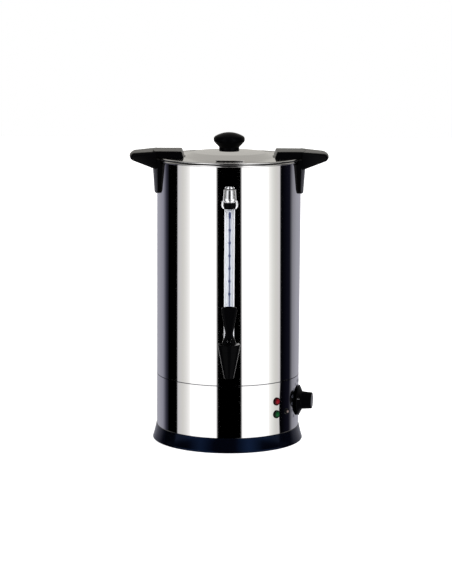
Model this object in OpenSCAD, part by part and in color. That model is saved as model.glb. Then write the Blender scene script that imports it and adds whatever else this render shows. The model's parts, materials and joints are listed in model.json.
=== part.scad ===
// Hot water urn: a single-wall steel tank on a plastic base, with a twist-lock lid, a sight gauge,
// a spring-return tap, a dial thermostat, a reset button and two pilot lamps.
// Frame: the tank's axis is the Z axis, the feet stand on Z = 0, and the tap faces -Y.

/* [Tank] */
// Outer diameter of the tank and of the skirt under it
body_d = 250; // [230:1:290]
// Thickness of the tank's and the skirt's sheet steel
sheet = 1; // [0.8:0.1:1.5]
// Height of the top of the rolled rim above the table
rim_h = 495.2; // [470:0.1:560]
// Height of the seam between the skirt and the tank
seam_h = 116.9; // [113:0.1:126]
// Thickness of the rolled rim
rim_bead_d = 3.8; // [3:0.1:5]
// Height of the tank's floor above the seam
floor_rise = 5.5; // [4:0.5:8]
// Thickness of the tank's floor
floor_t = 1.2; // [1:0.1:2]

/* [Base] */
// Distance that the base ring stands out past the skirt where it is widest
base_flare = 7; // [5:0.1:24]
// Height of the base ring's upper edge
base_h = 25.6; // [22:0.1:32]
// Thickness of the base ring's web that carries the feet and the skirt
web_t = 2.5; // [2:0.1:4]
// Height of the web's underside above the table
web_h = 6; // [5:0.5:8]
// Radius of the opening in the web, covered by the base plate
web_hole_r = 92; // [80:1:94]
// Thickness of the base plate
plate_t = 1; // [0.8:0.1:1.5]
// Diameter of a rubber foot
foot_d = 18; // [14:1:20]
// Number of feet, and of the screws between them
foot_count = 4; // [3:1:6]

/* [Handles] */
// Distance from the tank's axis to the outer end of a grip
grip_reach = 173; // [165:1:185]
// Width of a grip where it leaves the tank
grip_w = 84; // [70:1:90]
// Height of a handle's top above the rolled rim
grip_rise = 14.5; // [13.5:0.5:20]
// Depth of a grip below its top, where it meets the saddle
grip_depth = 31; // [26:1:38]
// Radius of the rounding at a grip's outer end
grip_end_r = 7; // [5:0.5:8]
// Width of a saddle at its widest, level with the rim
saddle_w = 100; // [92:1:104]
// Width of a saddle at its foot
saddle_foot_w = 84; // [70:1:90]
// Height of a saddle below the top of the rolled rim
saddle_drop = 58; // [45:1:75]
// Thickness of a saddle outside the tank
saddle_t = 7; // [6:0.5:9]

/* [Lid] */
// Thickness of the lid's sheet steel
lid_t = 0.8; // [0.6:0.1:1.2]
// Radius of the lid's raised middle at its top
hat_r = 65; // [55:1:68]
// Height of the raised middle above the lid's flange
hat_h = 8; // [6:0.5:12]
// Radius where the raised middle meets the flange
hat_foot_r = 80; // [76:1:84]
// Width of the steam vent's hood
vent_w = 49; // [30:1:60]
// Height of the steam vent's opening
vent_h = 1.2; // [1:0.1:3]
// Distance from the axis to the inner end of a lid ear
ear_reach = 78.5; // [76:0.5:84]
// Width of a lid ear
ear_w = 76; // [60:1:80]
// Angle that the lid turns to lock
lock_angle = 12; // [8:1:14]
// Diameter of the lid knob
lid_knob_d = 54.6; // [44:0.2:60]
// Height of the lid knob
lid_knob_h = 32.8; // [28:0.1:40]
// Diameter of the lid knob's neck
lid_neck_d = 35; // [26:1:38]

/* [Gauge] */
// Distance from the tank's wall to the axis of the sight gauge
gauge_reach = 20; // [18:0.5:26]
// Outer diameter of the gauge glass
glass_d = 14; // [12:0.5:15]
// Wall of the gauge glass
glass_wall = 1.4; // [1:0.1:2]
// Outer diameter of the channel that guards the glass
guard_d = 17.4; // [17:0.1:20.6]
// Height of the collar's underside above the table
collar_h = 424.5; // [380:0.5:440]
// Height of the collar
collar_len = 10.4; // [9:0.1:14]
// Height of the gauge's cap
cap_len = 22.2; // [18:0.1:28]
// Widest diameter of the cap
cap_d = 22.2; // [22:0.1:26]

/* [Tap] */
// Distance from the tank's wall to the tap's vertical axis
tap_reach = 54; // [50:1:62]
// Height of the shank's axis above the table
tap_h = 171.4; // [160:0.1:182]
// Diameter of the tap's shoulder
tap_d = 38.4; // [36:0.2:42]
// Height of the shoulder above the shank's axis
shoulder_rise = 28.8; // [28.8:0.2:34]
// Length of the spout below the shank's axis
spout_drop = 29.4; // [27:0.1:36]
// Length that the body narrows by for each unit of its height
tap_taper = 0.196; // [0.18:0.001:0.2]
// Height of the lever above the shoulder
lever_len = 64.6; // [55:0.1:75]
// Width of the lever at its top
lever_w = 26.4; // [22:0.1:30]
// Angle that the lever tilts
lever_angle = 35; // [25:1:40]
// Height that the valve lifts when the lever is fully tilted
valve_lift = 4; // [4:0.1:5]

/* [Controls] */
// Azimuth of the thermostat, counted from the tap towards +X
dial_az = 79; // [74:0.5:90]
// Height of the thermostat's axis above the table
dial_h = 72; // [69:0.2:78]
// Diameter of the dial's skirt
dial_d = 54; // [46:1:56]
// Diameter of the dial's grip
dial_grip_d = 31.2; // [26:0.2:33]
// Length of the dial from its back to its end face
dial_len = 24.4; // [22:0.2:30]
// Azimuth of the reset button
reset_az = 54.3; // [53:0.1:57]
// Height of the reset button's axis above the table
reset_h = 62; // [57:0.2:67]
// Travel of the reset button
reset_travel = 1.5; // [1:0.1:2]
// Azimuth of the pilot lamps
lamp_az = 41.9; // [38:0.1:44]
// Height of the heating lamp above the table
heating_lamp_h = 83.7; // [80:0.1:89]
// Height of the keep-warm lamp above the table
warm_lamp_h = 61.2; // [53:0.1:63]
// Diameter of a lamp's lens
lamp_d = 14.2; // [13:0.1:16]
// Bore of the cable gland
gland_bore_d = 8.4; // [7:0.1:10]
// Height of the cable gland above the table
gland_h = 47.4; // [43:0.2:57]

/* [Clearances] */
// Gap between pieces that move past each other
gap = 0.3; // [0.2:0.05:0.4]
// Radial clearance of a shaft in its bore
fit = 0.08; // [0.05:0.01:0.1]
// Gap between pieces that are seated on each other
seat = 0.05; // [0.02:0.01:0.1]

/* [Hidden] */
$fn = 96;
eps = 0.01;
body_r = body_d / 2;
inner_r = body_r - sheet;
base_r = body_r + base_flare;

// Base
web_top = web_h + web_t;
ring_bottom = 0.4;
ring_round = 2;
lip_t = 1;
foot_r = 111 * body_r / 125;
foot_bore_r = 3.2;
screw_r = 2;
foot_screw_len = web_t + 8;
plate_r = web_hole_r + 8;
plate_screw_r = web_hole_r + 4;
flange_r = web_hole_r + 12;

// Tank
floor_top = seam_h + floor_rise;
floor_bottom = floor_top - floor_t;
floor_round = 4;
collar_drop = 11.5;
seam_gap = 0.2;
bead_r = rim_bead_d / 2;
bead_mid_r = body_r + 0.2;
bead_out = bead_mid_r + bead_r;
bead_in = bead_mid_r - bead_r;

// Heating plate and element
heat_t = 4;
heat_r = 85;
heat_bottom = floor_bottom - heat_t;
element_r = 60;
element_tube_r = 4.2;
element_z = heat_bottom - element_tube_r - seat;
element_gap_angle = 36;
element_leg = 20;
element_pin = 12;
clamp_t = 3;
clamp_w = 24;
clamp_top = element_z - element_tube_r - seat;
stud_r = 4;
nut_t = 6.5;
nut_r = 7.5;

// Lid and its seal
seal_z = rim_h + 0.15;
seal_t = 0.85;
seal_in = bead_in - 6.2;
seal_lip_t = 3.3;
lid_z = seal_z + seal_t + seat;
hem_r = 1.25;
hem_mid_r = bead_out - hem_r - 0.1;
flange_z = lid_z + 1.7;
hat_z = flange_z + hat_h;
crown = 1.5;
ear_bolt_x = hat_foot_r + 20;
ear_bolt_y = ear_w / 2 - 16;
vent_r = hat_foot_r + 15;
hoop_t = 1;
hoop_r = seal_in + hoop_t;
hoop_drop = 6;

// Handles and ears
top_z = rim_h + grip_rise;
bench_z = rim_h + 3.6;
ear_face_r = bead_out + 4.6;
handle_face_r = ear_face_r + 0.5;
relief_r = bead_out + 1;
saddle_r = body_r + saddle_t + 0.4;
saddle_z = rim_h - saddle_drop;
undercut_z = top_z - grip_depth;
tongue_len = 3.2;
tongue_h = 3;
tongue_z = bench_z + 2.6;
tongue_angle = 5;
tongue_start = 15.5;
handle_screw_angle = 13;
handle_screw_z = rim_h - 36;
insert_depth = 5;

// Gauge
gauge_y = -(body_r + gauge_reach);
glass_r = glass_d / 2;
guard_r = guard_d / 2;
guard_t = 0.8;
boss_r = guard_r + 0.6;
boss_top = tap_h + 25;
socket_z = tap_h + 10;
seal_ring_t = 3;
cap_r = cap_d / 2;
collar_r = cap_r - 0.9;
collar_top = collar_h + collar_len;
cap_top = collar_top + cap_len;
crown_len = 3.4;
clip_bow = 3.7;

// Tap
tap_y = -(body_r + tap_reach);
tap_r = tap_d / 2;
shoulder_z = tap_h + shoulder_rise;
spout_z = tap_h - spout_drop;
bonnet_len = 12.3;
bonnet_z = shoulder_z - bonnet_len;
seat_z = tap_h - 8;
chamber_r = 9.5;
inlet_r = 5.5;
shank_r = 10;
shank_boss_r = 11;
shank_boss_len = 16.2;
nose_r = 8;
nose_len = 7;
thread_r = 8;
thread_len = 16;
shank_flange_r = 14;
shank_flange_t = 5;
gasket_t = 3;
stem_r = 2.9;
cup_r = 7.4;
cup_len = 7.5;
pin_r = 1.5;
pivot_rise = 6.4;
pivot_z = shoulder_z + gap + pivot_rise;
heel_depth = 2 * (valve_lift + pivot_rise * (1 - cos(lever_angle))) / sin(lever_angle) - 2;
heel_w = 23.2;
spring_r = 5.2;
spring_wire = 0.9;
spring_turns = 4;
spring_low = seat_z + cup_len + 3;
spring_high = shoulder_z - 4.2;

// Controls
dial_back = body_r + 1.2;
spindle_r = 3;
bushing_r = 5;
thermostat_w = 28;
thermostat_depth = 26;
thermostat_front = inner_r - 1.5;
reset_bushing_r = 4;
button_r = 2.2;
reset_front = inner_r - 0.6;
lamp_r = lamp_d / 2;
lamp_barrel_r = 6;
gland_r = 10;

// ---------- shared shapes ----------

// A cylinder between two heights, finer where it is as wide as the tank
module post(r, z0, z1) {
    translate([0, 0, z0]) cylinder(r = r, h = z1 - z0, $fn = r > 60 ? 480 : 96);
}

// A tube between two heights
module tube(r_out, r_in, z0, z1) {
    difference() {
        post(r_out, z0, z1);
        post(r_in, z0 - 1, z1 + 1);
    }
}

// Turns a child from the local frame of the wall, with Z pointing outwards from the tank's axis,
// to its place at an azimuth counted from the tap towards +X
module at_wall(azimuth, height) {
    translate([0, 0, height]) rotate([0, 0, azimuth - 90]) rotate([90, 0, 90]) children();
}

// Puts a child on the tap's side, with Z pointing away from the tank
module at_front(height) {
    at_wall(0, height) children();
}

// A hexagonal nut with a round bore, standing on Z = 0
module nut(across_r, bore_r, height) {
    difference() {
        cylinder(r = across_r, h = height, $fn = 6);
        translate([0, 0, -1]) cylinder(r = bore_r, h = height + 2);
    }
}

// A screw with a domed head, its shank pointing to -Z from Z = 0
module screw(shank_r, length, head_r, head_h) {
    translate([0, 0, -length]) cylinder(r = shank_r, h = length);
    difference() {
        intersection() {
            cylinder(r = head_r, h = head_h);
            translate([0, 0, head_h - 2 * head_r]) sphere(r = 2 * head_r);
        }
        for (turn = [0, 90]) rotate([0, 0, turn])
            translate([-head_r * 0.55, -0.4, head_h * 0.45]) cube([head_r * 1.1, 0.8, head_h]);
    }
}

// Copies a child round the axis, halfway between the steps if half is 1
module ring_of(count, radius, half = 0) {
    for (i = [0 : count - 1])
        rotate([0, 0, (i + half / 2) * 360 / count]) translate([radius, 0, 0]) children();
}

// ---------- tank and base ----------

module tank_shell() {
    color("gainsboro") difference() {
        rotate_extrude() {
            translate([inner_r, seam_h + seam_gap])
                square([sheet, rim_h - bead_r - seam_h - seam_gap]);
            translate([bead_mid_r, rim_h - bead_r]) circle(r = bead_r, $fn = 48);
        }
        at_front(tap_h) translate([0, 0, inner_r - 5]) cylinder(r = thread_r + 0.25, h = 15);
        at_front(collar_h + collar_len / 2)
            translate([0, 0, inner_r - 5]) cylinder(r = screw_r + seat, h = 15);
        handle_bolt_places() translate([0, 0, -15]) cylinder(r = screw_r + seat, h = 30);
    }
}

// Half the outline of a round pan turned upside down: radius, edge radius, top, bottom
module pan_outline(r, edge_r, top, bottom) {
    square_r = r - edge_r;
    translate([0, bottom]) square([r, top - edge_r - bottom]);
    translate([0, bottom]) square([square_r, top - bottom]);
    translate([square_r, top - edge_r]) intersection() {
        circle(r = edge_r, $fn = 48);
        square(edge_r);
    }
}

module tank_floor() {
    low = seam_h - collar_drop;
    color("silver") rotate_extrude() difference() {
        pan_outline(inner_r - seat, floor_round, floor_top, low);
        pan_outline(inner_r - seat - floor_t, floor_round - floor_t, floor_bottom, low - 1);
    }
}

module skirt() {
    color("gainsboro") difference() {
        rotate_extrude() {
            translate([inner_r, web_top]) square([sheet, seam_h - seam_gap - web_top]);
            translate([flange_r, web_top]) square([inner_r - flange_r + eps, sheet]);
        }
        ring_of(foot_count, foot_r, 1) post(screw_r + seat, web_top - 1, web_top + 5);
        ring_of(foot_count, foot_r) post(foot_bore_r + 2, web_top - 1, web_top + 5);
        for (height = [heating_lamp_h, warm_lamp_h])
            at_wall(lamp_az, height) post(lamp_barrel_r + 0.15, inner_r - 5, body_r + 5);
        at_wall(dial_az, dial_h) post(bushing_r + 0.15, inner_r - 5, body_r + 5);
        thermostat_screw_places() post(screw_r + seat, inner_r - 5, body_r + 5);
        at_wall(reset_az, reset_h) post(reset_bushing_r + 0.15, inner_r - 5, body_r + 5);
        at_wall(180, gland_h) post(gland_r + 0.15, inner_r - 5, body_r + 5);
        earth_place() post(screw_r + seat, -4, 4);
    }
}

module base_ring() {
    color("#15161a") difference() {
        rotate_extrude() {
            polygon([[body_r - 4, ring_bottom], [base_r - ring_round, ring_bottom],
                     for (step = [1 : 11]) let (turn = step * 7.5 - 90)
                         [base_r - ring_round + ring_round * cos(turn),
                          ring_bottom + ring_round + ring_round * sin(turn)],
                     for (step = [0 : 10]) flare(step / 10),
                     [body_r + seat, base_h], [body_r + seat, web_top],
                     [body_r - 4, web_top]]);
            translate([web_hole_r, web_h]) square([body_r - 4 - web_hole_r + eps, web_t]);
        }
        ring_of(foot_count, foot_r, 1) post(screw_r + 0.2, web_h - 1, web_top + 1);
        ring_of(foot_count, foot_r) post(foot_bore_r, web_h - 1, web_top + 1);
        ring_of(foot_count, plate_screw_r, 1) post(1.6 + seat, web_h - 1, web_top + 1);
    }
}

// A point of the base ring's flare, from its foot at 0 to its lip at 1
function flare(share) =
    let (low_z = ring_bottom + ring_round, low_r = base_r, high_r = body_r + lip_t)
    [low_r - (low_r - high_r) * (1.25 * share - 0.25 * share * share),
     low_z + (base_h - low_z) * share];

module base_plate() {
    color("lightgray") difference() {
        post(plate_r, web_h - plate_t, web_h);
        ring_of(foot_count, plate_screw_r, 1) post(1.6 + seat, 0, web_h + 1);
        for (ring = [0 : 2]) ring_of(12, 30 + 17 * ring, ring % 2)
            translate([-6, -1.5, 0]) cube([12, 3, web_h + 1]);
        post(stud_r + 1, 0, web_h + 1);
    }
}

module feet() {
    color("#222222") ring_of(foot_count, foot_r) {
        rotate_extrude() {
            polygon([[0, 0], [foot_d / 2 - 1, 0], [foot_d / 2, 1], [foot_d / 2 - 0.6, web_h],
                     [0, web_h]]);
            square([foot_bore_r - seat, web_top + 0.4]);
            translate([0, web_top + 0.1]) square([foot_bore_r + 1, 1.4]);
        }
    }
}

module base_screws() {
    color("silver") ring_of(foot_count, foot_r, 1) {
        translate([0, 0, web_h]) rotate([180, 0, 0]) screw(screw_r, foot_screw_len, 3.8, 2.4);
        translate([0, 0, web_top + sheet + seat]) nut(4, screw_r + seat, 3.2);
    }
}

module plate_screws() {
    color("silver") ring_of(foot_count, plate_screw_r, 1)
        translate([0, 0, web_h - plate_t]) rotate([180, 0, 0]) screw(1.6, 6, 3, 2);
}

// ---------- heating ----------

module heat_plate() {
    color("silver") {
        post(heat_r, heat_bottom, floor_bottom);
        post(stud_r, clamp_top - clamp_t - nut_t - 5, heat_bottom);
    }
}

module heating_element() {
    color("dimgray") {
        translate([0, 0, element_z]) rotate([0, 0, 90 + element_gap_angle / 2])
            rotate_extrude(angle = 360 - element_gap_angle)
                translate([element_r, 0]) circle(r = element_tube_r, $fn = 32);
        for (side = [-1, 1]) rotate([0, 0, 90 + side * (element_gap_angle / 2 + 5)])
            translate([element_r, 0, element_z]) {
                post(element_tube_r - 0.5, -element_leg, 0);
                post(1.5, -element_leg - element_pin, 1 - element_leg);
            }
    }
}

module element_clamp() {
    color("silver") difference() {
        for (turn = [0, 60, 120]) rotate([0, 0, turn])
            translate([-element_r - 8, -clamp_w / 2, clamp_top - clamp_t])
                cube([2 * element_r + 16, clamp_w, clamp_t]);
        post(stud_r + 0.2, clamp_top - clamp_t - 1, clamp_top + 1);
        for (side = [-1, 1]) rotate([0, 0, 90 + side * (element_gap_angle / 2 + 5)])
            translate([element_r, 0, 0]) post(element_tube_r + 1.5, clamp_top - 10, clamp_top + 1);
    }
}

module clamp_nut() {
    color("silver") translate([0, 0, clamp_top - clamp_t - nut_t]) nut(nut_r, stud_r + seat, nut_t);
}

// ---------- controls ----------

module thermostat_screw_places() {
    for (side = [-1, 1]) at_wall(dial_az, dial_h + side * 13) children();
}

module thermostat_body() {
    back = thermostat_front - thermostat_depth;
    color("#d9d2c0") difference() {
        at_wall(dial_az, dial_h) {
            translate([-thermostat_w / 2, -18, back]) cube([thermostat_w, 36, thermostat_depth]);
            post(bushing_r, thermostat_front - 1, body_r + 0.6);
            for (x = [-8, 8], y = [-11, 11])
                translate([x - 3, y - 0.4, back - 8]) cube([6, 0.8, 9]);
        }
        at_wall(dial_az, dial_h) post(spindle_r + fit, back + 6, body_r + 5);
        thermostat_screw_places() post(screw_r + seat, thermostat_front - 8, body_r);
    }
}

module thermostat_screws() {
    color("silver") thermostat_screw_places() translate([0, 0, body_r + 0.05])
        difference() {
            union() {
                post(screw_r, -9, 0.5);
                post(3.6, 0, 0.9);
            }
            translate([-3, -0.35, 0.5]) cube([6, 0.7, 1]);
        }
}

module thermostat_spindle() {
    back = thermostat_front - thermostat_depth;
    color("gainsboro") at_wall(dial_az, dial_h) difference() {
        post(spindle_r, back + 6.5, dial_back + dial_len - 6);
        translate([1.6, -5, dial_back + 4]) cube([5, 10, dial_len]);
    }
}

// The sensing bulb lies in a clip under the heating plate, and its capillary runs to the thermostat
module thermostat_bulb() {
    bulb_z = heat_bottom - 3 - seat;
    tail_r = thermostat_front - thermostat_depth - 12;
    color("peru") rotate([0, 0, dial_az - 90]) {
        translate([element_r + 12, -22, bulb_z]) rotate([-90, 0, 0]) cylinder(r = 3, h = 44);
        translate([element_r + 12, 22, bulb_z]) sphere(r = 3, $fn = 32);
        translate([element_r + 12, 22, bulb_z]) rotate([0, 180, 0])
            cylinder(r = 1, h = bulb_z - dial_h - 4);
        translate([element_r + 12, 22, dial_h + 4]) sphere(r = 1, $fn = 24);
        translate([element_r + 12, 22, dial_h + 4]) rotate([90, 0, 0]) cylinder(r = 1, h = 18);
        translate([element_r + 12, 4, dial_h + 4]) sphere(r = 1, $fn = 24);
        translate([element_r + 12, 4, dial_h + 4]) rotate([0, 90, 0])
            cylinder(r = 1, h = thermostat_front - thermostat_depth - element_r - 12 - seat);
    }
}

module control_knob() {
    color("#17181b") at_wall(dial_az, dial_h) translate([0, 0, dial_back]) difference() {
        rotate_extrude() polygon([
            [0, 0], [dial_d / 2 - 0.4, 0], [dial_d / 2, 0.4], [dial_d / 2, 0.9],
            [dial_d / 2 - 0.5, 1.4], [dial_grip_d / 2 + 1, 6.4], [dial_grip_d / 2, 7.4],
            [dial_grip_d / 2 - 1.3, dial_len - 0.8], [dial_grip_d / 2 - 2.1, dial_len],
            [0, dial_len]]);
        post(spindle_r + 0.02, -1, dial_len - 5.8);
        post(bushing_r + 0.5, -1, 1.2);
        post(dial_grip_d / 2 - 2.7, dial_len - 0.8, dial_len + 1);
        difference() {
            post(dial_grip_d / 2 - 3, -1, 3.2);
            post(bushing_r + 2.5, -2, 4);
        }
    }
}

module knob_cap() {
    color("silver") at_wall(dial_az, dial_h) translate([0, 0, dial_back])
        post(dial_grip_d / 2 - 2.8, dial_len - 0.8, dial_len);
}

module cutout_body() {
    color("#e6e0d2") at_wall(reset_az, reset_h) difference() {
        union() {
            translate([-8.5, -8.5, reset_front - 19]) cube([17, 17, 18.5]);
            post(reset_bushing_r, reset_front - 1, body_r + 1.8);
            for (y = [-5, 5]) translate([-3, y - 0.4, reset_front - 27]) cube([6, 0.8, 9]);
        }
        post(button_r + fit, reset_front - 12, body_r + 5);
    }
}

module cutout_nut() {
    color("#17181b") difference() {
        at_wall(reset_az, reset_h) difference() {
            post(5.2, body_r - 1, body_r + 1.6);
            post(reset_bushing_r + seat, body_r - 3, body_r + 4);
        }
        post(body_r, reset_h - 10, reset_h + 10);
    }
}

module reset_button() {
    color("white") at_wall(reset_az, reset_h) {
        post(button_r, reset_front - 12 + reset_travel + gap, body_r + 3);
        translate([0, 0, body_r + 3]) intersection() {
            post(button_r, -1, 1);
            translate([0, 0, -button_r * 1.6]) sphere(r = button_r * 1.9);
        }
    }
}

module lamp_housing(height) {
    color("#2a2a2c") at_wall(lamp_az, height) difference() {
        union() {
            post(lamp_barrel_r, inner_r - 22, body_r + 0.1);
            for (x = [-2.4, 2.4]) translate([x - 0.4, -2, inner_r - 30]) cube([0.8, 4, 9]);
        }
        post(lamp_barrel_r - 1, inner_r - 12, body_r + 1);
    }
}

module lamp_lens(height) {
    at_wall(lamp_az, height) translate([0, 0, body_r + 0.12]) difference() {
        union() {
            rotate_extrude() polygon([
                [0, 0], [lamp_r - 0.2, 0], [lamp_r, 0.3], [lamp_r, 1], [lamp_r - 0.5, 1.6],
                [lamp_r - 1.6, 1.9], [lamp_r - 2.2, 1.9], for (step = [1 : 6])
                    [(lamp_r - 2.2) * cos(step * 15), 1.9 + 2.1 * sin(step * 15)]]);
            post(lamp_barrel_r - 1 - seat, -8, 0.1);
        }
        post(lamp_barrel_r - 2, -9, 0.6);
    }
}

module heating_lamp_housing() { lamp_housing(heating_lamp_h); }
module warm_lamp_housing() { lamp_housing(warm_lamp_h); }
module heating_lamp_lens() { color("#c8102e") lamp_lens(heating_lamp_h); }
module warm_lamp_lens() { color("#0b7a3b") lamp_lens(warm_lamp_h); }

module lamp_clips() {
    color("silver") for (height = [heating_lamp_h, warm_lamp_h])
        at_wall(lamp_az, height) tube(9, lamp_barrel_r + seat, inner_r - 1.3, inner_r - 0.5);
}

module cable_gland() {
    color("#1b1b1d") difference() {
        at_wall(180, gland_h) {
            post(gland_r, inner_r - 12, body_r + 1);
            translate([0, 0, body_r + 1]) rotate_extrude() polygon([
                [0, -1], [gland_r + 4, -1], [gland_r + 4, 2], [gland_r + 2, 3.4],
                [gland_bore_d / 2 + 2.2, 10], [0, 10]]);
        }
        post(body_r, gland_h - gland_r - 10, gland_h - gland_r + 0.5);
        difference() {
            post(body_r, gland_h - gland_r - 6, gland_h + gland_r + 6);
            at_wall(180, gland_h) post(gland_r, inner_r - 13, body_r + 2);
        }
        at_wall(180, gland_h) post(gland_bore_d / 2, inner_r - 13, body_r + 20);
    }
}

module gland_nut() {
    color("#1b1b1d") at_wall(180, gland_h) translate([0, 0, inner_r - 8.5])
        nut(14, gland_r + seat, 6);
}

module terminal_block() {
    color("ivory") translate([-22, 86, web_top + sheet]) difference() {
        cube([44, 16, 16]);
        for (i = [0 : 2]) translate([7.5 + 14.5 * i, 8, 0]) {
            translate([0, 0, 9]) cylinder(r = 2.6, h = 8);
            translate([0, -9, 7]) rotate([-90, 0, 0]) cylinder(r = 2, h = 18);
        }
    }
}

module earth_place() {
    rotate([0, 0, 60]) translate([foot_r - 4, 0, web_top + sheet / 2]) children();
}

module earth_stud() {
    color("darkkhaki") earth_place() {
        post(screw_r, -sheet / 2, 12);
        translate([0, 0, sheet / 2 + seat]) nut(4, screw_r + seat, 3.2);
    }
}

// ---------- handles ----------

// Places of the handle screws, with Z pointing outwards from the tank's inner face
module handle_bolt_places() {
    for (side = [-1, 1], turn = [-1, 1])
        at_wall(90 * side + turn * handle_screw_angle, handle_screw_z)
            translate([0, 0, inner_r]) children();
}

// A pie slice of a ring between two angles, counted from +X
module slice(r_in, r_out, z0, z1, from, to) {
    rotate([0, 0, from]) rotate_extrude(angle = to - from)
        translate([r_in, z0]) square([r_out - r_in, z1 - z0]);
}

// The grip's wing, from the saddle to its rounded outer end
module grip_wing() {
    corner_r = 4;
    arc_r = grip_reach - grip_end_r;
    arc_angle = asin((grip_w / 2 - grip_end_r - 5) / arc_r);
    hull() {
        for (step = [-2 : 2]) let (turn = step * arc_angle / 2)
            translate([arc_r * cos(turn), arc_r * sin(turn), top_z - 3.4 - grip_end_r])
                sphere(r = grip_end_r, $fn = 30);
        for (side = [-1, 1], z = [top_z - corner_r, undercut_z + corner_r])
            translate([body_r + 1, side * (grip_w / 2 - corner_r), z])
                sphere(r = corner_r, $fn = 30);
    }
}

// The saddle's outline seen from outside: X across the handle, Y up
module saddle_outline() {
    round_r = 10;
    foot_x = saddle_foot_w / 2 - round_r;
    polygon([
        for (step = [0 : 8]) let (turn = -90 + step * 10.5)
            [foot_x + round_r * cos(turn), saddle_z + round_r + round_r * sin(turn)],
        [saddle_w / 2, rim_h - 6], [saddle_w / 2 - 1, rim_h + 1], [grip_w / 2 + 1, bench_z],
        [grip_w / 2 - 2, top_z - 2], [-grip_w / 2 + 2, top_z - 2],
        [-grip_w / 2 - 1, bench_z], [-saddle_w / 2 + 1, rim_h + 1], [-saddle_w / 2, rim_h - 6],
        for (step = [8 : -1 : 0]) let (turn = -90 + step * 10.5)
            [-foot_x - round_r * cos(turn), saddle_z + round_r + round_r * sin(turn)]]);
}

module saddle() {
    intersection() {
        rotate_extrude() polygon([
            [body_r - 2, saddle_z], [body_r + saddle_t - 2.4, saddle_z],
            [saddle_r, undercut_z], [saddle_r + 1, top_z - 2], [body_r - 2, top_z - 2]]);
        rotate([90, 0, 90]) linear_extrude(height = 1.3 * body_r) saddle_outline();
    }
}

// The right handle, at +X. A tongue of the lid's ear drops into the notch at the rear and
// turns under the lip beside it
module handle_shape() {
    slot_r = ear_face_r + tongue_len + 0.5;
    slot_low = tongue_z - gap;
    slack = 0.5;
    difference() {
        union() {
            grip_wing();
            saddle();
        }
        post(body_r + seat, saddle_z - 5, top_z + 5);
        post(relief_r, rim_h - rim_bead_d - 2.5, top_z + 5);
        post(handle_face_r, bench_z, top_z + 5);
        slice(handle_face_r - 1, slot_r, slot_low, tongue_z + tongue_h + gap,
              tongue_start - tongue_angle - lock_angle - slack, tongue_start + slack);
        slice(handle_face_r - 1, slot_r, slot_low, top_z + 5,
              tongue_start - tongue_angle - slack, tongue_start + slack);
        handle_bolt_places() translate([0, 0, -1])
            cylinder(r = screw_r + seat, h = sheet + insert_depth + 1.3);
    }
}

module handle_right() { color("#17181b") handle_shape(); }
module handle_left() { color("#17181b") rotate([0, 0, 180]) handle_shape(); }

module handle_screws() {
    color("silver") handle_bolt_places() translate([0, 0, -1.8])
        rotate([180, 0, 0]) screw(screw_r, sheet + insert_depth + 1.8, 4, 2.2);
}

module handle_washers() {
    color("#8c8c8c") intersection() {
        handle_bolt_places() difference() {
            post(5.5, -1.75, 1);
            post(screw_r + seat, -3, 2);
        }
        post(inner_r - seat, handle_screw_z - 10, handle_screw_z + 10);
    }
}

// ---------- sight gauge ----------

module gauge_glass() {
    color("#cfd8e8", 0.5) translate([0, gauge_y, 0])
        tube(glass_r, glass_r - glass_wall, socket_z + seal_ring_t + seat, cap_top - 4);
}

module gauge_guard() {
    open_angle = 130;
    color("silver") translate([0, gauge_y, 0]) rotate([0, 0, -90 + open_angle / 2])
        rotate_extrude(angle = 360 - open_angle)
            translate([guard_r - guard_t, boss_top]) square([guard_t, collar_h - boss_top]);
}

module gauge_collar() {
    color("#1d1d1f") translate([0, gauge_y, 0])
        tube(collar_r, glass_r + seat, collar_h, collar_top);
}

module gauge_cap() {
    tooth_count = 10;
    color("silver") translate([0, gauge_y, collar_top]) difference() {
        rotate_extrude() polygon([
            [glass_r + seat, 0], [cap_r - 2.9, 0], [cap_r - 1.3, 1.2], [cap_r - 0.4, 3],
            [cap_r, 5.3], [cap_r - 1.2, cap_len - 1], [cap_r - 2, cap_len],
            [cap_r - 4.2, cap_len], [cap_r - 4.2, cap_len + 0.7],
            [cap_r - 3.2, cap_len + 1.3], [cap_r - 3.2, cap_len + crown_len],
            [cap_r - 4.8, cap_len + crown_len], [cap_r - 4.8, cap_len + 1],
            [1.5, cap_len + 1], [1.5, cap_len - 2.5], [glass_r + seat, cap_len - 2.5]]);
        for (i = [0 : tooth_count - 1]) rotate([0, 0, (i + 0.5) * 360 / tooth_count])
            translate([cap_r - 7, -0.8, cap_len + crown_len - 1.3]) cube([6, 1.6, crown_len]);
        for (side = [-1, 1]) translate([side * 3.3, 0, 4.8]) rotate([90, 0, 0])
            cylinder(r = 0.7, h = 20);
    }
}

module gauge_bracket() {
    open_angle = 130;
    color("silver") difference() {
        union() {
            translate([0, gauge_y, 0]) rotate([0, 0, -90 + open_angle / 2])
                rotate_extrude(angle = 360 - open_angle) translate([collar_r, collar_h]) polygon([
                    [0.1, 0.6], [1, 0], [clip_bow - 0.3, 3.4], [clip_bow, 6.6],
                    [clip_bow - 0.7, collar_len + 2.4], [clip_bow - 2, collar_len + 3],
                    [clip_bow - 1.4, collar_len], [clip_bow - 1.5, 5]]);
            at_front(collar_h + collar_len / 2)
                post(4.5, body_r - 2, -gauge_y - collar_r - clip_bow + 1.7);
        }
        post(body_r + seat, collar_h - 20, collar_h + 40);
        at_front(collar_h + collar_len / 2) post(screw_r + seat, body_r - 5, body_r + 6.5);
    }
}

module gauge_screw() {
    color("silver") at_front(collar_h + collar_len / 2) translate([0, 0, inner_r - 0.2])
        rotate([180, 0, 0]) screw(screw_r, sheet + 6, 4, 2.2);
}

module gauge_seal() {
    color("#3a3a3c") translate([0, gauge_y, 0])
        tube(glass_r + 0.2, 4.4, socket_z + seat, socket_z + seal_ring_t);
}

// ---------- tap ----------

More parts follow.
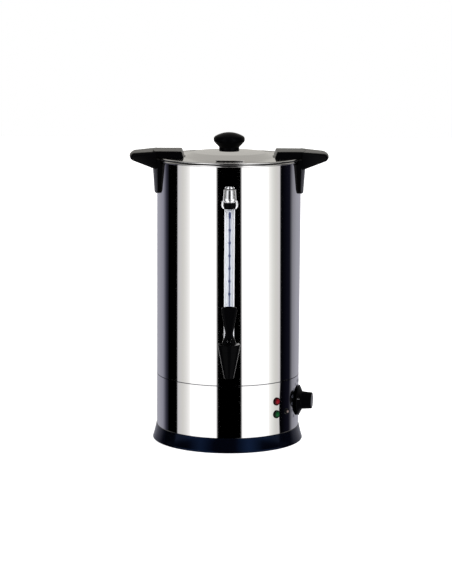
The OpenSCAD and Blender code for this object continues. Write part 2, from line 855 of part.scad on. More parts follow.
module tap_shank() {
    axis_end = body_r + tap_reach - shank_boss_len;
    flange_start = body_r + gasket_t;
    color("silver") difference() {
        union() {
            at_front(tap_h) {
                post(thread_r, inner_r - thread_len, flange_start + 1);
                rotate([0, 0, 30]) translate([0, 0, flange_start])
                    cylinder(r = shank_flange_r, h = shank_flange_t, $fn = 6);
                post(shank_r, flange_start + 1, axis_end - seat);
                post(nose_r, axis_end - 1, axis_end + nose_len - 2.5);
            }
            translate([0, gauge_y, 0]) post(boss_r, tap_h, boss_top);
        }
        at_front(tap_h) post(inlet_r, inner_r - 20, axis_end + nose_len);
        translate([0, gauge_y, 0]) {
            post(4.4, tap_h, socket_z + 1);
            post(glass_r + 0.25, socket_z, boss_top + 1);
        }
    }
}

module shank_gasket() {
    color("#9a9a9a") difference() {
        at_front(tap_h) tube(13, thread_r + 0.1, body_r - 2, body_r + gasket_t - seat);
        post(body_r + seat, tap_h - 20, tap_h + 20);
    }
}

module inner_gasket() {
    color("#9a9a9a") intersection() {
        at_front(tap_h) tube(13, thread_r + 0.1, inner_r - gasket_t, inner_r + 1);
        post(inner_r - seat, tap_h - 20, tap_h + 20);
    }
}

module shank_nut() {
    color("silver") at_front(tap_h) translate([0, 0, inner_r - gasket_t - seat - 8])
        nut(15, thread_r + seat, 8);
}

// Radius of the tap's cone at a height
function cone_r(z) = tap_r - tap_taper * (shoulder_z - 2 - z);

module tap_body() {
    neck_r = tap_r - 4.1;
    color("#141518") difference() {
        union() {
            translate([0, tap_y, 0]) rotate_extrude() polygon([
                [0, spout_z], [cone_r(spout_z) - 0.6, spout_z], [cone_r(spout_z), spout_z + 0.8],
                [cone_r(bonnet_z), bonnet_z], [neck_r, bonnet_z], [neck_r, bonnet_z + 7.5],
                [0, bonnet_z + 7.5]]);
            at_front(tap_h)
                post(shank_boss_r, body_r + tap_reach - shank_boss_len, body_r + tap_reach);
        }
        translate([0, tap_y, 0]) {
            post(chamber_r, seat_z, bonnet_z + 10);
            post(5, spout_z - 1, seat_z + 1);
        }
        at_front(tap_h) {
            post(inlet_r, body_r + tap_reach - shank_boss_len - 1, body_r + tap_reach);
            post(nose_r + seat, body_r + tap_reach - shank_boss_len - 1,
                 body_r + tap_reach - shank_boss_len + nose_len - 2.4);
        }
    }
}

module tap_bonnet() {
    neck_r = tap_r - 4.1;
    color("#141518") translate([0, tap_y, 0]) rotate_extrude() polygon([
        [neck_r + seat, bonnet_z + seat], [cone_r(bonnet_z + 0.5), bonnet_z + seat],
        [tap_r, shoulder_z - 2], [tap_r - 0.6, shoulder_z - 0.6], [tap_r - 2, shoulder_z],
        [stem_r + fit, shoulder_z], [stem_r + fit, spring_high], [chamber_r, spring_high],
        [chamber_r, bonnet_z + 7.5 + seat], [neck_r + seat, bonnet_z + 7.5 + seat]]);
}

module valve_stem() {
    low_z = seat_z + gap;
    color("silver") translate([0, tap_y, 0]) difference() {
        union() {
            post(stem_r, low_z + 2, pivot_z);
            post(cup_r - 0.6, low_z + cup_len, low_z + cup_len + 1.5);
            translate([0, 0, pivot_z]) sphere(r = stem_r);
        }
        translate([0, 0, pivot_z]) rotate([0, 90, 0])
            cylinder(r = pin_r + 0.02, h = 2 * heel_w, center = true);
    }
}

module seat_cup() {
    low_z = seat_z + gap;
    color("#b8b8b4") translate([0, tap_y, 0]) rotate_extrude() polygon([
        [0, low_z], [cup_r - 1, low_z], [cup_r, low_z + 1.4], [cup_r - 0.9, low_z + 4],
        [cup_r - 0.9, low_z + cup_len - seat], [stem_r + seat, low_z + cup_len - seat],
        [stem_r + seat, low_z + 2 - seat], [0, low_z + 2 - seat]]);
}

module lever_pin() {
    color("silver") translate([0, tap_y, pivot_z]) rotate([0, 90, 0])
        cylinder(r = pin_r, h = heel_w - 3.5, center = true);
}

// A closed tube swept along a helix, with flat ends
module coil(radius, wire_r, z0, z1, turns) {
    sides = 8;
    steps = turns * 20;
    points = [for (i = [0 : steps], j = [0 : sides - 1])
        let (turn = i * 360 / 20, around = j * 360 / sides,
             r = radius + wire_r * cos(around))
        [r * cos(turn), r * sin(turn), z0 + (z1 - z0) * i / steps + wire_r * sin(around)]];
    faces = concat(
        [[for (j = [0 : sides - 1]) j]],
        [for (i = [0 : steps - 1], j = [0 : sides - 1]) let (k = (j + 1) % sides)
            [i * sides + j, (i + 1) * sides + j, (i + 1) * sides + k, i * sides + k]],
        [[for (j = [sides - 1 : -1 : 0]) steps * sides + j]]);
    polyhedron(points, faces, convexity = 6);
}

module tap_spring() {
    wire_r = spring_wire / 2;
    color("silver") translate([0, tap_y, 0])
        coil(spring_r, wire_r, spring_low - 1 + wire_r, spring_high - wire_r - 0.1,
             spring_turns);
}

// Rows of the lever: height above its foot as a share, half width, half depth, lean forwards
lever_rows = [
    [0, heel_w / 2, heel_depth / 2, 0],
    [0.07, heel_w / 2 - 0.5, heel_depth / 2 - 0.3, 0],
    [0.15, heel_w / 2 - 3.1, heel_depth / 2 - 2, 0.1],
    [0.26, heel_w / 2 - 5, heel_depth / 2 - 3.4, 0.4],
    [0.4, heel_w / 2 - 3.5, heel_depth / 2 - 3.9, 1.1],
    [0.6, lever_w / 2 - 3.2, heel_depth / 2 - 4.2, 2.4],
    [0.8, lever_w / 2 - 0.9, heel_depth / 2 - 4.4, 4.2],
    [0.93, lever_w / 2, heel_depth / 2 - 4.6, 5.6],
    [0.97, lever_w / 2 - 1.4, heel_depth / 2 - 4.8, 6.1],
    [0.99, lever_w / 2 - 4, heel_depth / 2 - 5.3, 6.3],
    [1, lever_w / 2 - 8, heel_depth / 2 - 6.6, 6.4]];

// A smooth curve through the lever's rows, one column at a time
function row_at(share, column) =
    let (last = len(lever_rows) - 1,
         found = [for (i = [0 : last - 1]) if (lever_rows[i + 1][0] >= share) i],
         i = len(found) > 0 ? found[0] : last - 1,
         t = (share - lever_rows[i][0]) / (lever_rows[i + 1][0] - lever_rows[i][0]),
         p0 = lever_rows[max(i - 1, 0)][column], p1 = lever_rows[i][column],
         p2 = lever_rows[i + 1][column], p3 = lever_rows[min(i + 2, last)][column])
    p1 + 0.5 * t * (p2 - p0 + t * (2 * p0 - 5 * p1 + 4 * p2 - p3
         + t * (3 * (p1 - p2) + p3 - p0)));

// A point on a rounded rectangle of half sizes a and b
function soft_corner(a, b, turn) =
    let (power = 0.62)
    [a * sign(cos(turn)) * pow(abs(cos(turn)), power),
     b * sign(sin(turn)) * pow(abs(sin(turn)), power)];

module lever_paddle() {
    sides = 32;
    shares = [for (i = [0 : 17]) i * 0.053, for (i = [1 : 8]) 0.901 + 0.099 * i / 8];
    levels = len(shares);
    points = [for (share = shares, j = [0 : sides - 1])
        let (p = soft_corner(row_at(share, 1), row_at(share, 2), (j + 0.5) * 360 / sides))
        [p[0], p[1] - row_at(share, 3), share * (lever_len - gap)]];
    faces = concat(
        [[for (j = [0 : sides - 1]) j]],
        [for (i = [0 : levels - 2], j = [0 : sides - 1]) let (k = (j + 1) % sides)
            [i * sides + j, (i + 1) * sides + j, (i + 1) * sides + k]],
        [for (i = [0 : levels - 2], j = [0 : sides - 1]) let (k = (j + 1) % sides)
            [i * sides + j, (i + 1) * sides + k, i * sides + k]],
        [[for (j = [sides - 1 : -1 : 0]) (levels - 1) * sides + j]]);
    polyhedron(points, faces, convexity = 4);
}

module tap_lever() {
    slot_w = 2 * (stem_r + gap);
    color("#141518") translate([0, tap_y, shoulder_z + gap]) difference() {
        lever_paddle();
        translate([-slot_w / 2, -heel_depth, -1]) cube([slot_w, 2 * heel_depth, pivot_rise + 1]);
        translate([0, 0, pivot_rise]) rotate([90, 0, 0])
            cylinder(r = slot_w / 2 + 0.4, h = 2 * heel_depth, center = true);
        translate([0, 0, pivot_rise]) rotate([0, 90, 0])
            cylinder(r = pin_r + fit, h = 2 * heel_w, center = true);
    }
}

// ---------- lid ----------

module lid_seal() {
    color("#2b2b2d") rotate_extrude() polygon([
        [seal_in + hoop_t + gap, seal_z - hoop_drop + 1], [seal_in + hoop_t + gap, seal_z + seal_t],
        [bead_out - 0.4, seal_z + seal_t], [bead_out - 0.2, seal_z + seal_t / 2],
        [bead_out - 0.4, seal_z], [seal_in + hoop_t + gap + seal_lip_t - 0.8, seal_z],
        [seal_in + hoop_t + gap + seal_lip_t, seal_z - 1.6],
        [seal_in + hoop_t + gap + seal_lip_t - 1.6, seal_z - hoop_drop + 1]]);
}

// The lid's upper surface as a line from the axis to the hem: radius, height
function lid_line() = [
    [0, hat_z + crown], [lid_neck_d / 2 + 1.5, hat_z + crown],
    [hat_r - 2.5, hat_z], for (step = [1 : 4]) let (turn = 90 - step * 7)
        [hat_r - 2.5 + 6 * cos(turn), hat_z - 6 + 6 * sin(turn)],
    for (step = [4 : -1 : 0]) let (turn = 270 - step * 7)
        [hat_foot_r + 2.5 + 6 * cos(turn), flange_z + 6 + 6 * sin(turn)],
    [hem_mid_r, flange_z]];

// The lid's upper surface with everything under it, down to a height
module lid_envelope(z_low) {
    rotate_extrude() polygon(concat([[0, z_low]], lid_line(), [[hem_mid_r, z_low]]));
}

module lid_plate() {
    line = lid_line();
    under = [for (i = [len(line) - 1 : -1 : 0]) [line[i][0], line[i][1] - lid_t]];
    vent_angle = 2 * asin(vent_w / 2 / vent_r);
    color("gainsboro") difference() {
        union() {
            rotate_extrude() {
                polygon(concat(line, under));
                translate([hem_mid_r, lid_z + hem_r]) circle(r = hem_r, $fn = 32);
                translate([hoop_r - hoop_t, flange_z - lid_t - hoop_drop])
                    square([hoop_t, hoop_drop + eps]);
            }
            rotate([0, 0, -90 - vent_angle / 2]) rotate_extrude(angle = vent_angle)
                polygon([[vent_r - 10, flange_z - 0.1], [vent_r - 2, flange_z + vent_h],
                         [vent_r, flange_z + vent_h], [vent_r, flange_z + vent_h + lid_t],
                         [vent_r - 2.2, flange_z + vent_h + lid_t],
                         [vent_r - 12.4, flange_z - 0.1]]);
        }
        rotate([0, 0, -90 - vent_angle / 2 + 0.6]) rotate_extrude(angle = vent_angle - 1.2)
            translate([vent_r - 6, flange_z - lid_t - 1]) square([5, lid_t + 1.2]);
        ear_bolt_places() post(screw_r + seat, flange_z - lid_t - 1, flange_z + 1);
        post(2.5 + seat, hat_z - 2, hat_z + crown + 1);
    }
}

module ear_bolt_places() {
    for (side = [0, 180], y = [-ear_bolt_y, ear_bolt_y])
        rotate([0, 0, side]) translate([ear_bolt_x, y, 0]) children();
}

// The right lid ear, at +X, nested between the raised middle of the lid and the handle
module ear_shape() {
    corner_r = 2.6;
    half = ear_w / 2 - corner_r;
    bolt_top = top_z - 3.5;
    difference() {
        union() {
            intersection() {
                hull() for (side = [-1, 1]) {
                    translate([ear_reach + corner_r + 3, side * half, top_z - corner_r])
                        sphere(r = corner_r, $fn = 24);
                    translate([ear_reach + corner_r, side * half, lid_z + 2])
                        sphere(r = corner_r, $fn = 24);
                    translate([ear_face_r + 5, side * (half - 1), top_z - corner_r])
                        sphere(r = corner_r, $fn = 24);
                    translate([ear_face_r + 5, side * (half - 1), lid_z + 2])
                        sphere(r = corner_r, $fn = 24);
                }
                post(ear_face_r, lid_z - 5, top_z + 5);
            }
            slice(ear_face_r - 3, ear_face_r + tongue_len, tongue_z, tongue_z + tongue_h,
                  tongue_start - tongue_angle, tongue_start);
        }
        lid_envelope(lid_z - 10);
        tube(ear_face_r + 10, hem_mid_r - hem_r - 0.5, lid_z - 10, bench_z + gap);
        translate([100, 0, 0]) for (y = [-22, 22]) translate([0, y, 0])
            post(screw_r + seat, lid_z - 5, bolt_top);
    }
}

module lid_ear_right() { color("#17181b") ear_shape(); }
module lid_ear_left() { color("#17181b") rotate([0, 0, 180]) ear_shape(); }

module ear_screws() {
    color("silver") ear_bolt_places() translate([0, 0, flange_z - lid_t])
        rotate([180, 0, 0]) screw(screw_r, lid_t + top_z - 4 - flange_z, 3.8, 1.9);
}

// The knob's outline: a neck, a flared underside, a round edge and a domed top
module lid_knob() {
    low = hat_z + crown;
    high = low + lid_knob_h;
    edge_r = 7.2;
    edge_x = lid_knob_d / 2 - edge_r;
    edge_z = high - 12.6;
    rise = high - edge_z;
    dome_r = (edge_x * edge_x + rise * rise - edge_r * edge_r) / (2 * (rise - edge_r));
    color("#141518") difference() {
        rotate_extrude() {
            translate([edge_x, edge_z]) circle(r = edge_r, $fn = 96);
            intersection() {
                translate([0, high - dome_r]) circle(r = dome_r, $fn = 256);
                translate([0, edge_z]) square([edge_x * dome_r / (dome_r - edge_r), rise + 1]);
            }
            polygon([[0, low], [lid_neck_d / 2 - 0.4, low], [lid_neck_d / 2, low + 0.6],
                     [lid_neck_d / 2, low + 7],
                     [edge_x + edge_r * cos(-40), edge_z + edge_r * sin(-40)],
                     [edge_x, edge_z], [0, edge_z + 2]]);
        }
        post(2.5 + seat, low - 1, low + 16);
    }
}

module lid_knob_screw() {
    low = hat_z + crown - lid_t;
    color("silver") translate([0, 0, low]) rotate([180, 0, 0]) {
        translate([0, 0, 1.05]) screw(2.5, 16, 4.8, 2.6);
        tube(7, 2.5 + seat, 0, 1);
    }
}

// ---------- nodes ----------

tank_shell();
tank_floor();
skirt();
base_ring();
base_plate();
feet();
base_screws();
plate_screws();
heat_plate();
heating_element();
element_clamp();
clamp_nut();
thermostat_body();
thermostat_screws();
thermostat_bulb();
cutout_body();
cutout_nut();
heating_lamp_housing();
heating_lamp_lens();
warm_lamp_housing();
warm_lamp_lens();
lamp_clips();
cable_gland();
gland_nut();
terminal_block();
earth_stud();
handle_left();
handle_right();
handle_screws();
handle_washers();
gauge_glass();
gauge_guard();
gauge_cap();
gauge_collar();
gauge_bracket();
gauge_screw();
gauge_seal();
tap_shank();
shank_gasket();
inner_gasket();
shank_nut();
tap_body();
tap_bonnet();
valve_stem();
seat_cup();
lever_pin();
tap_spring();
tap_lever();
control_knob();
knob_cap();
thermostat_spindle();
reset_button();
lid_seal();
lid_plate();
lid_ear_left();
lid_ear_right();
ear_screws();
lid_knob();
lid_knob_screw();
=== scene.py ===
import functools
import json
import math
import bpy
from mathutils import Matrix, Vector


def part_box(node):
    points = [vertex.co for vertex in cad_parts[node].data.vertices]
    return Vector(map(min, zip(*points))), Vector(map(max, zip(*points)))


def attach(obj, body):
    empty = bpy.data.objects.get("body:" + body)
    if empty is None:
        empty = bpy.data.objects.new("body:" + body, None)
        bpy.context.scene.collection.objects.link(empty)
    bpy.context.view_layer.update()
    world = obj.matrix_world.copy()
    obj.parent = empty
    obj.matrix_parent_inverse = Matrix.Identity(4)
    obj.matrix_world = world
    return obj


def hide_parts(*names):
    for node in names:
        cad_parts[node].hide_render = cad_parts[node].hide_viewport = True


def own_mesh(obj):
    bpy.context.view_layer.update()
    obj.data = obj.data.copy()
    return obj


bl_info = {
    "name": "Hot Water Urn",
    "version": (1, 0, 0),
    "blender": (4, 5, 0),
    "location": "View3D > Sidebar > Urn",
    "description": "Finishes, printed marks, studio and camera for a steel hot water urn",
    "category": "Object",
}

import bmesh
import bpy
from bpy.props import FloatProperty, FloatVectorProperty, IntProperty, PointerProperty
from mathutils import Matrix, Vector

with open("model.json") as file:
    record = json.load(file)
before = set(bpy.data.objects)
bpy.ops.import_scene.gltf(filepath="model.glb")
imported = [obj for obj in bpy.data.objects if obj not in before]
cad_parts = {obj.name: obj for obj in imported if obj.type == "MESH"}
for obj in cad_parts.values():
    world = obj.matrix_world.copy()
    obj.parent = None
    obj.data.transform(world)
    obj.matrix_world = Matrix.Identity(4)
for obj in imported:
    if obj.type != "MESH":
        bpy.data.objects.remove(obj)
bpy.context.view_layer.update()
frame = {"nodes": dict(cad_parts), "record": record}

MM = 0.001
RECORD = frame["record"]
BODY_OF = {node: body for body, nodes in RECORD["behaviour"]["bodies"].items() for node in nodes}


def linear(hex_colour):
    """An sRGB hex value as linear red, green and blue."""
    parts = [int(hex_colour[i : i + 2], 16) / 255 for i in (1, 3, 5)]
    return tuple(c / 12.92 if c <= 0.04045 else ((c + 0.055) / 1.055) ** 2.4 for c in parts)


# ---------- sizes and places read from the frame ----------

SKIRT_HIGH, TANK_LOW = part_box("skirt")[1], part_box("tank_shell")[0]
GLASS_LOW, GLASS_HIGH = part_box("gauge_glass")
WALL_R = SKIRT_HIGH.x
GLASS_R = (GLASS_HIGH.x - GLASS_LOW.x) / 2
GAUGE_Y = (GLASS_LOW.y + GLASS_HIGH.y) / 2
JOINTS = {joint["name"]: joint for joint in RECORD["behaviour"]["joints"]}
DIAL, VALVE = JOINTS["dial_turn"], JOINTS["valve_lift"]


# ---------- settings that a user would change ----------


class UrnFinish(bpy.types.PropertyGroup):
    """Colours and polish of the urn's surfaces"""

    steel: FloatVectorProperty(
        name="Steel", description="Colour of the polished steel", subtype="COLOR",
        min=0, max=1, default=linear("#d2d1d1"))
    polish: FloatProperty(
        name="Polish", description="Roughness of the polished steel", min=0, max=1, default=0.045)
    plastic: FloatVectorProperty(
        name="Plastic", description="Colour of the grips, ears, knob and tap", subtype="COLOR",
        min=0, max=1, default=linear("#040405"))
    base: FloatVectorProperty(
        name="Base", description="Colour of the base ring", subtype="COLOR",
        min=0, max=1, default=linear("#020308"))
    heating: FloatVectorProperty(
        name="Heating lamp", description="Colour of the heating lamp", subtype="COLOR",
        min=0, max=1, default=linear("#6f0615"))
    warm: FloatVectorProperty(
        name="Keep-warm lamp", description="Colour of the keep-warm lamp", subtype="COLOR",
        min=0, max=1, default=linear("#053f1d"))
    ink: FloatVectorProperty(
        name="Level ink", description="Colour of the gauge's level marks", subtype="COLOR",
        min=0, max=1, default=linear("#18234f"))


class UrnMarks(bpy.types.PropertyGroup):
    """Sizes and places of the printed marks"""

    level_count: IntProperty(
        name="Levels", description="Number of level marks on the gauge", min=1, max=12, default=6)
    level_pitch: FloatProperty(
        name="Level pitch", description="Height of one litre on the gauge", subtype="DISTANCE",
        unit="LENGTH", min=0.01, default=0.0216)
    lowest_level: FloatProperty(
        name="Lowest level", description="Height of the lowest level mark above the table",
        subtype="DISTANCE", unit="LENGTH", min=0.2, default=0.2808)
    full_level: FloatProperty(
        name="Full level", description="Height of the full mark above the table",
        subtype="DISTANCE", unit="LENGTH", min=0.2, default=0.4135)
    figure_h: FloatProperty(
        name="Figure height", description="Height of the dial's figures", subtype="DISTANCE",
        unit="LENGTH", min=0.002, default=0.005)


class UrnStudio(bpy.types.PropertyGroup):
    """Light and camera"""

    white: FloatProperty(
        name="Softboxes", description="Radiance of the white softboxes", min=0, max=5, default=1.75)
    key: FloatProperty(
        name="Key light", description="Strength of the soft light from the front", min=0, max=10,
        default=3.0)
    lens: FloatProperty(
        name="Lens", description="Focal length on a frame 36 mm high", min=20, max=300, default=129.66)
    distance: FloatProperty(
        name="Distance", description="Distance of the camera", subtype="DISTANCE", unit="LENGTH",
        min=1, default=3.6905)
    elevation: FloatProperty(
        name="Elevation", description="Angle of the camera above the horizon", subtype="ANGLE",
        unit="ROTATION", default=math.radians(9.228))
    orbit: FloatProperty(
        name="Orbit", description="Angle of the camera round the object", subtype="ANGLE",
        unit="ROTATION", default=math.radians(-0.5))
    roll: FloatProperty(
        name="Roll", description="Roll of the camera", subtype="ANGLE", unit="ROTATION",
        default=math.radians(0.332))


# ---------- materials ----------

TONE_PER_M = 20.0  # so the slow tone of a colour changes over 50 mm
GRAIN_DETAIL, TONE_DETAIL = 3.0, 2.0
RELIEF = 0.6  # share of the grain's height that the relief shows
EDGE_SAMPLES = 4
INSIDE_ROUGHNESS = 0.32
INSIDE_FROM, INSIDE_FULL = 0.4 * MM, 0.5 * MM  # depths below the wall's outer face
GROOVE_UP, GROOVE_HALF_W = 22.8 * MM, 0.5 * MM  # the groove's middle is above the cap's foot
# colour of the painted shade in the groove under the gauge cap's crown
GROOVE_PAINTED_SHADE = (0.01, 0.01, 0.01)
ENAMEL_WHITE, ENAMEL_BLUE = linear("#f3f5fb"), linear("#a6afcb")
STRIPE_X = 0.5 * MM
STRIPE_FULL, STRIPE_END = 2.4 * MM, 3.6 * MM  # from the stripe's middle
LENS_CLEAR, LENS_DARK = 0.4, 0.85  # shares of the lens's radius
# darkness of the painted shade on the lens's rim, over the lens's colour
LENS_RIM_SHADE = 0.06


def add_node(tree, kind, settings=None, links=None, **attributes):
    """Adds a node, sets its attributes and sockets, and links its inputs."""
    new = tree.nodes.new(kind)
    for name, value in attributes.items():
        setattr(new, name, value)
    for socket, value in (settings or {}).items():
        new.inputs[socket].default_value = value
    for socket, source in (links or {}).items():
        tree.links.new(source, new.inputs[socket])
    return new


def surface(name, colour, roughness, grain=0.5, lift=0.0, spread=0.04, tone=0.05,
            stretch=(1, 1, 1), edge=0.0, sockets=None):
    """A material with grain in its relief and roughness and slow tone in its colour.

    grain is the grain's width and lift its height in millimetres, spread how far the roughness
    varies, tone how far the colour varies, stretch the grain's count along each axis, and edge
    the radius in millimetres that sharp edges are softened by.
    """
    material = bpy.data.materials.new(name)
    material.use_nodes = True
    tree = material.node_tree
    shader = tree.nodes["Principled BSDF"]
    for socket, value in (sockets or {}).items():
        shader.inputs[socket].default_value = value
    place = add_node(tree, "ShaderNodeTexCoord").outputs["Object"]
    turned = add_node(tree, "ShaderNodeMapping", {"Scale": stretch}, {"Vector": place})
    fine = add_node(tree, "ShaderNodeTexNoise",
                    {"Scale": 1 / (grain * MM), "Detail": GRAIN_DETAIL},
                    {"Vector": turned.outputs["Vector"]}).outputs["Fac"]
    slow = add_node(tree, "ShaderNodeTexNoise", {"Scale": TONE_PER_M, "Detail": TONE_DETAIL},
                    {"Vector": place}).outputs["Fac"]
    dark = [c * (1 - tone) for c in colour[:3]]
    pale = [min(c * (1 + tone), 1) for c in colour[:3]]
    shade = add_node(tree, "ShaderNodeMix", {6: (*dark, 1), 7: (*pale, 1)}, {0: slow},
                     data_type="RGBA")
    tree.links.new(shade.outputs[2], shader.inputs["Base Color"])
    limits = {"To Min": max(roughness - spread, 0), "To Max": min(roughness + spread, 1)}
    rough = add_node(tree, "ShaderNodeMapRange", limits, {"Value": fine})
    tree.links.new(rough.outputs["Result"], shader.inputs["Roughness"])
    relief = {}
    if edge:
        soft = add_node(tree, "ShaderNodeBevel", {"Radius": edge * MM}, samples=EDGE_SAMPLES)
        tree.links.new(soft.outputs["Normal"], shader.inputs["Normal"])
        relief = {"Normal": soft.outputs["Normal"]}
    if lift:
        bump = add_node(tree, "ShaderNodeBump", {"Strength": RELIEF, "Distance": lift * MM},
                        {"Height": fine, **relief})
        tree.links.new(bump.outputs["Normal"], shader.inputs["Normal"])
    return material


def shader_of(material):
    """The material's node tree and its Principled shader."""
    return material.node_tree, material.node_tree.nodes["Principled BSDF"]


def place_in(material):
    """The socket that gives a point's place on the object."""
    return material.node_tree.nodes["Texture Coordinate"].outputs["Object"]


def overlay(material, colour, share):
    """Gives the material another colour where the share, a socket, is one."""
    tree, shader = shader_of(material)
    under = shader.inputs["Base Color"].links[0].from_socket
    shade = add_node(tree, "ShaderNodeMix", {7: (*colour, 1)}, {0: share, 6: under},
                     data_type="RGBA")
    tree.links.new(shade.outputs[2], shader.inputs["Base Color"])
    return shade.outputs[2]


@functools.cache
def stock(maker):
    """The material that a maker makes, made once for all the pieces that have it."""
    return maker(bpy.context.scene.urn_finish)


def polished_stainless(finish):
    """Stainless sheet, rolled and mirror polished outside and left satin inside the tank."""
    material = surface("polished_stainless", finish.steel, finish.polish, grain=1.2, spread=0.012,
                       tone=0.01, stretch=(1, 1, 0.05), sockets={"Metallic": 1.0})
    tree, shader = shader_of(material)
    polish = shader.inputs["Roughness"].links[0].from_socket
    flat = add_node(tree, "ShaderNodeVectorMath", {1: (1, 1, 0)}, {0: place_in(material)},
                    operation="MULTIPLY")
    from_axis = add_node(tree, "ShaderNodeVectorMath", None, {0: flat.outputs["Vector"]},
                         operation="LENGTH")
    inside = add_node(tree, "ShaderNodeMapRange",
                      {"From Min": WALL_R - INSIDE_FULL, "From Max": WALL_R - INSIDE_FROM,
                       "To Min": INSIDE_ROUGHNESS, "To Max": 0.0},
                      {"Value": from_axis.outputs["Value"]})
    either = add_node(tree, "ShaderNodeMath", None,
                      {0: polish, 1: inside.outputs["Result"]}, operation="MAXIMUM")
    tree.links.new(either.outputs[0], shader.inputs["Roughness"])
    return material


def satin_stainless(finish):
    """Stainless sheet as it comes from the mill: a grey sheen without clear reflections."""
    return surface("satin_stainless", finish.steel, 0.3, grain=0.6, lift=0.01, spread=0.06,
                   stretch=(1, 1, 0.1), sockets={"Metallic": 1.0})


def pressed_lid_stainless(finish):
    """Stainless sheet, pressed and buffed: it blurs what it reflects a little."""
    return surface("pressed_lid_stainless", finish.steel, 0.13, grain=1.5, spread=0.03, tone=0.02,
                   sockets={"Metallic": 1.0})


def moulded_polypropylene(finish):
    """Black polypropylene from a spark-eroded mould: dark, with a broad sheen on its grain."""
    return surface("moulded_polypropylene", finish.plastic, 0.22, grain=0.45, lift=0.006,
                   spread=0.04, edge=0.5, sockets={"Specular IOR Level": 0.03})


def glossy_phenolic(finish):
    """Black phenolic moulding, tumbled smooth: dark, with small soft highlights."""
    return surface("glossy_phenolic", finish.plastic, 0.17, grain=0.8, lift=0.003,
                   edge=0.4, sockets={"Specular IOR Level": 0.015})


def black_nylon(finish):
    """Glass-filled black nylon of the tap: smooth, with thin bright edges."""
    return surface("black_nylon", finish.plastic, 0.12, grain=0.7, lift=0.002,
                   spread=0.02, edge=0.4, sockets={"Specular IOR Level": 0.015})


def nylon_painted_highlight(finish):
    """The same nylon, made far more reflective on the bonnet's top so that a painted highlight shows
    there.
    """
    return surface("nylon_painted_highlight", finish.plastic, 0.08, grain=0.7, spread=0.03,
                   sockets={"Specular IOR Level": 1.0, "IOR": 2.4})


def base_ring_abs(finish):
    """High-gloss black ABS: deep and bluish where light slides along it."""
    return surface("base_ring_abs", finish.base, 0.13, grain=0.9, lift=0.003,
                   sockets={"Specular IOR Level": 0.2, "Specular Tint": (0.14, 0.34, 1.0, 1.0)})


def chrome_plate(finish):
    """Bright chrome on brass: nearly a mirror."""
    return surface("chrome_plate", linear("#dcdde0"), 0.06, grain=1.0, spread=0.02, tone=0.01,
                   edge=0.2, sockets={"Metallic": 1.0})


def satin_nickel(finish):
    """Satin nickel on the gauge's cap: it spreads the softboxes into a broad white. A band round the
    cap, where the groove under its crown lies, is painted nearly black as painted shade."""
    material = surface("satin_nickel", linear("#e6e7ea"), 0.24, grain=1.0, spread=0.03, tone=0.01,
                       edge=0.2, sockets={"Metallic": 1.0})
    tree = material.node_tree
    groove_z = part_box("gauge_cap")[0].z + GROOVE_UP
    place = add_node(tree, "ShaderNodeSeparateXYZ", None, {"Vector": place_in(material)})
    groove = add_node(tree, "ShaderNodeMath", {1: groove_z, 2: GROOVE_HALF_W},
                      {0: place.outputs["Z"]}, operation="COMPARE")
    # painted shade: the band round the cap at the groove is painted nearly black
    overlay(material, GROOVE_PAINTED_SHADE, groove.outputs[0])
    return material


def zinc_plate(finish):
    """Zinc-plated steel: a soft grey with a slight spangle."""
    return surface("zinc_plate", linear("#b4b4b0"), 0.34, grain=0.8, lift=0.005, spread=0.1,
                   tone=0.1, edge=0.15, sockets={"Metallic": 1.0})


def cast_aluminium(finish):
    """Cast aluminium plate: pale and matt with a coarse skin."""
    return surface("cast_aluminium", linear("#b9babb"), 0.5, grain=0.6, lift=0.05, spread=0.1,
                   tone=0.08, sockets={"Metallic": 1.0})


def heated_sheath(finish):
    """Incoloy sheath, annealed dark by heat."""
    return surface("heated_sheath", linear("#45423e"), 0.45, grain=0.7, lift=0.01, spread=0.1,
                   tone=0.25, sockets={"Metallic": 1.0})


def steatite(finish):
    """Pressed steatite ceramic: off-white and dry."""
    return surface("steatite", linear("#ddd6c3"), 0.65, grain=0.3, lift=0.02, tone=0.05, edge=0.3)


def drawn_copper(finish):
    """Drawn copper tube: warm and half bright."""
    return surface("drawn_copper", linear("#c17a56"), 0.28, grain=0.5, spread=0.08, tone=0.12,
                   sockets={"Metallic": 1.0})


def turned_brass(finish):
    """Turned brass: yellow, with fine tool marks."""
    return surface("turned_brass", linear("#cdaa62"), 0.25, grain=0.3, lift=0.01,
                   stretch=(0.1, 0.1, 1), sockets={"Metallic": 1.0})


def silicone_rubber(finish):
    """Grey silicone: matt and slightly translucent."""
    return surface("silicone_rubber", linear("#8d8d8b"), 0.62, grain=0.5, lift=0.01,
                   sockets={"Subsurface Weight": 0.1})


def black_rubber(finish):
    """Black moulded rubber: nearly without highlights."""
    return surface("black_rubber", linear("#1b1b1d"), 0.75, grain=0.4, lift=0.02, tone=0.1)


def spun_aluminium(finish):
    """Aluminium disc, spun and brushed in circles: a fan of light round its middle."""
    return surface("spun_aluminium", linear("#6f6d6a"), 0.34, grain=0.5, spread=0.08, tone=0.08,
                   sockets={"Metallic": 1.0})


def borosilicate_glass(finish):
    """Borosilicate tube: clear, with a faint sheen. It lets light through to the enamel behind it."""
    return surface("borosilicate_glass", (0.92, 0.95, 1.0), 0.05, grain=4.0, spread=0.005,
                   tone=0.0, sockets={"Alpha": 0.12, "Specular IOR Level": 0.3})


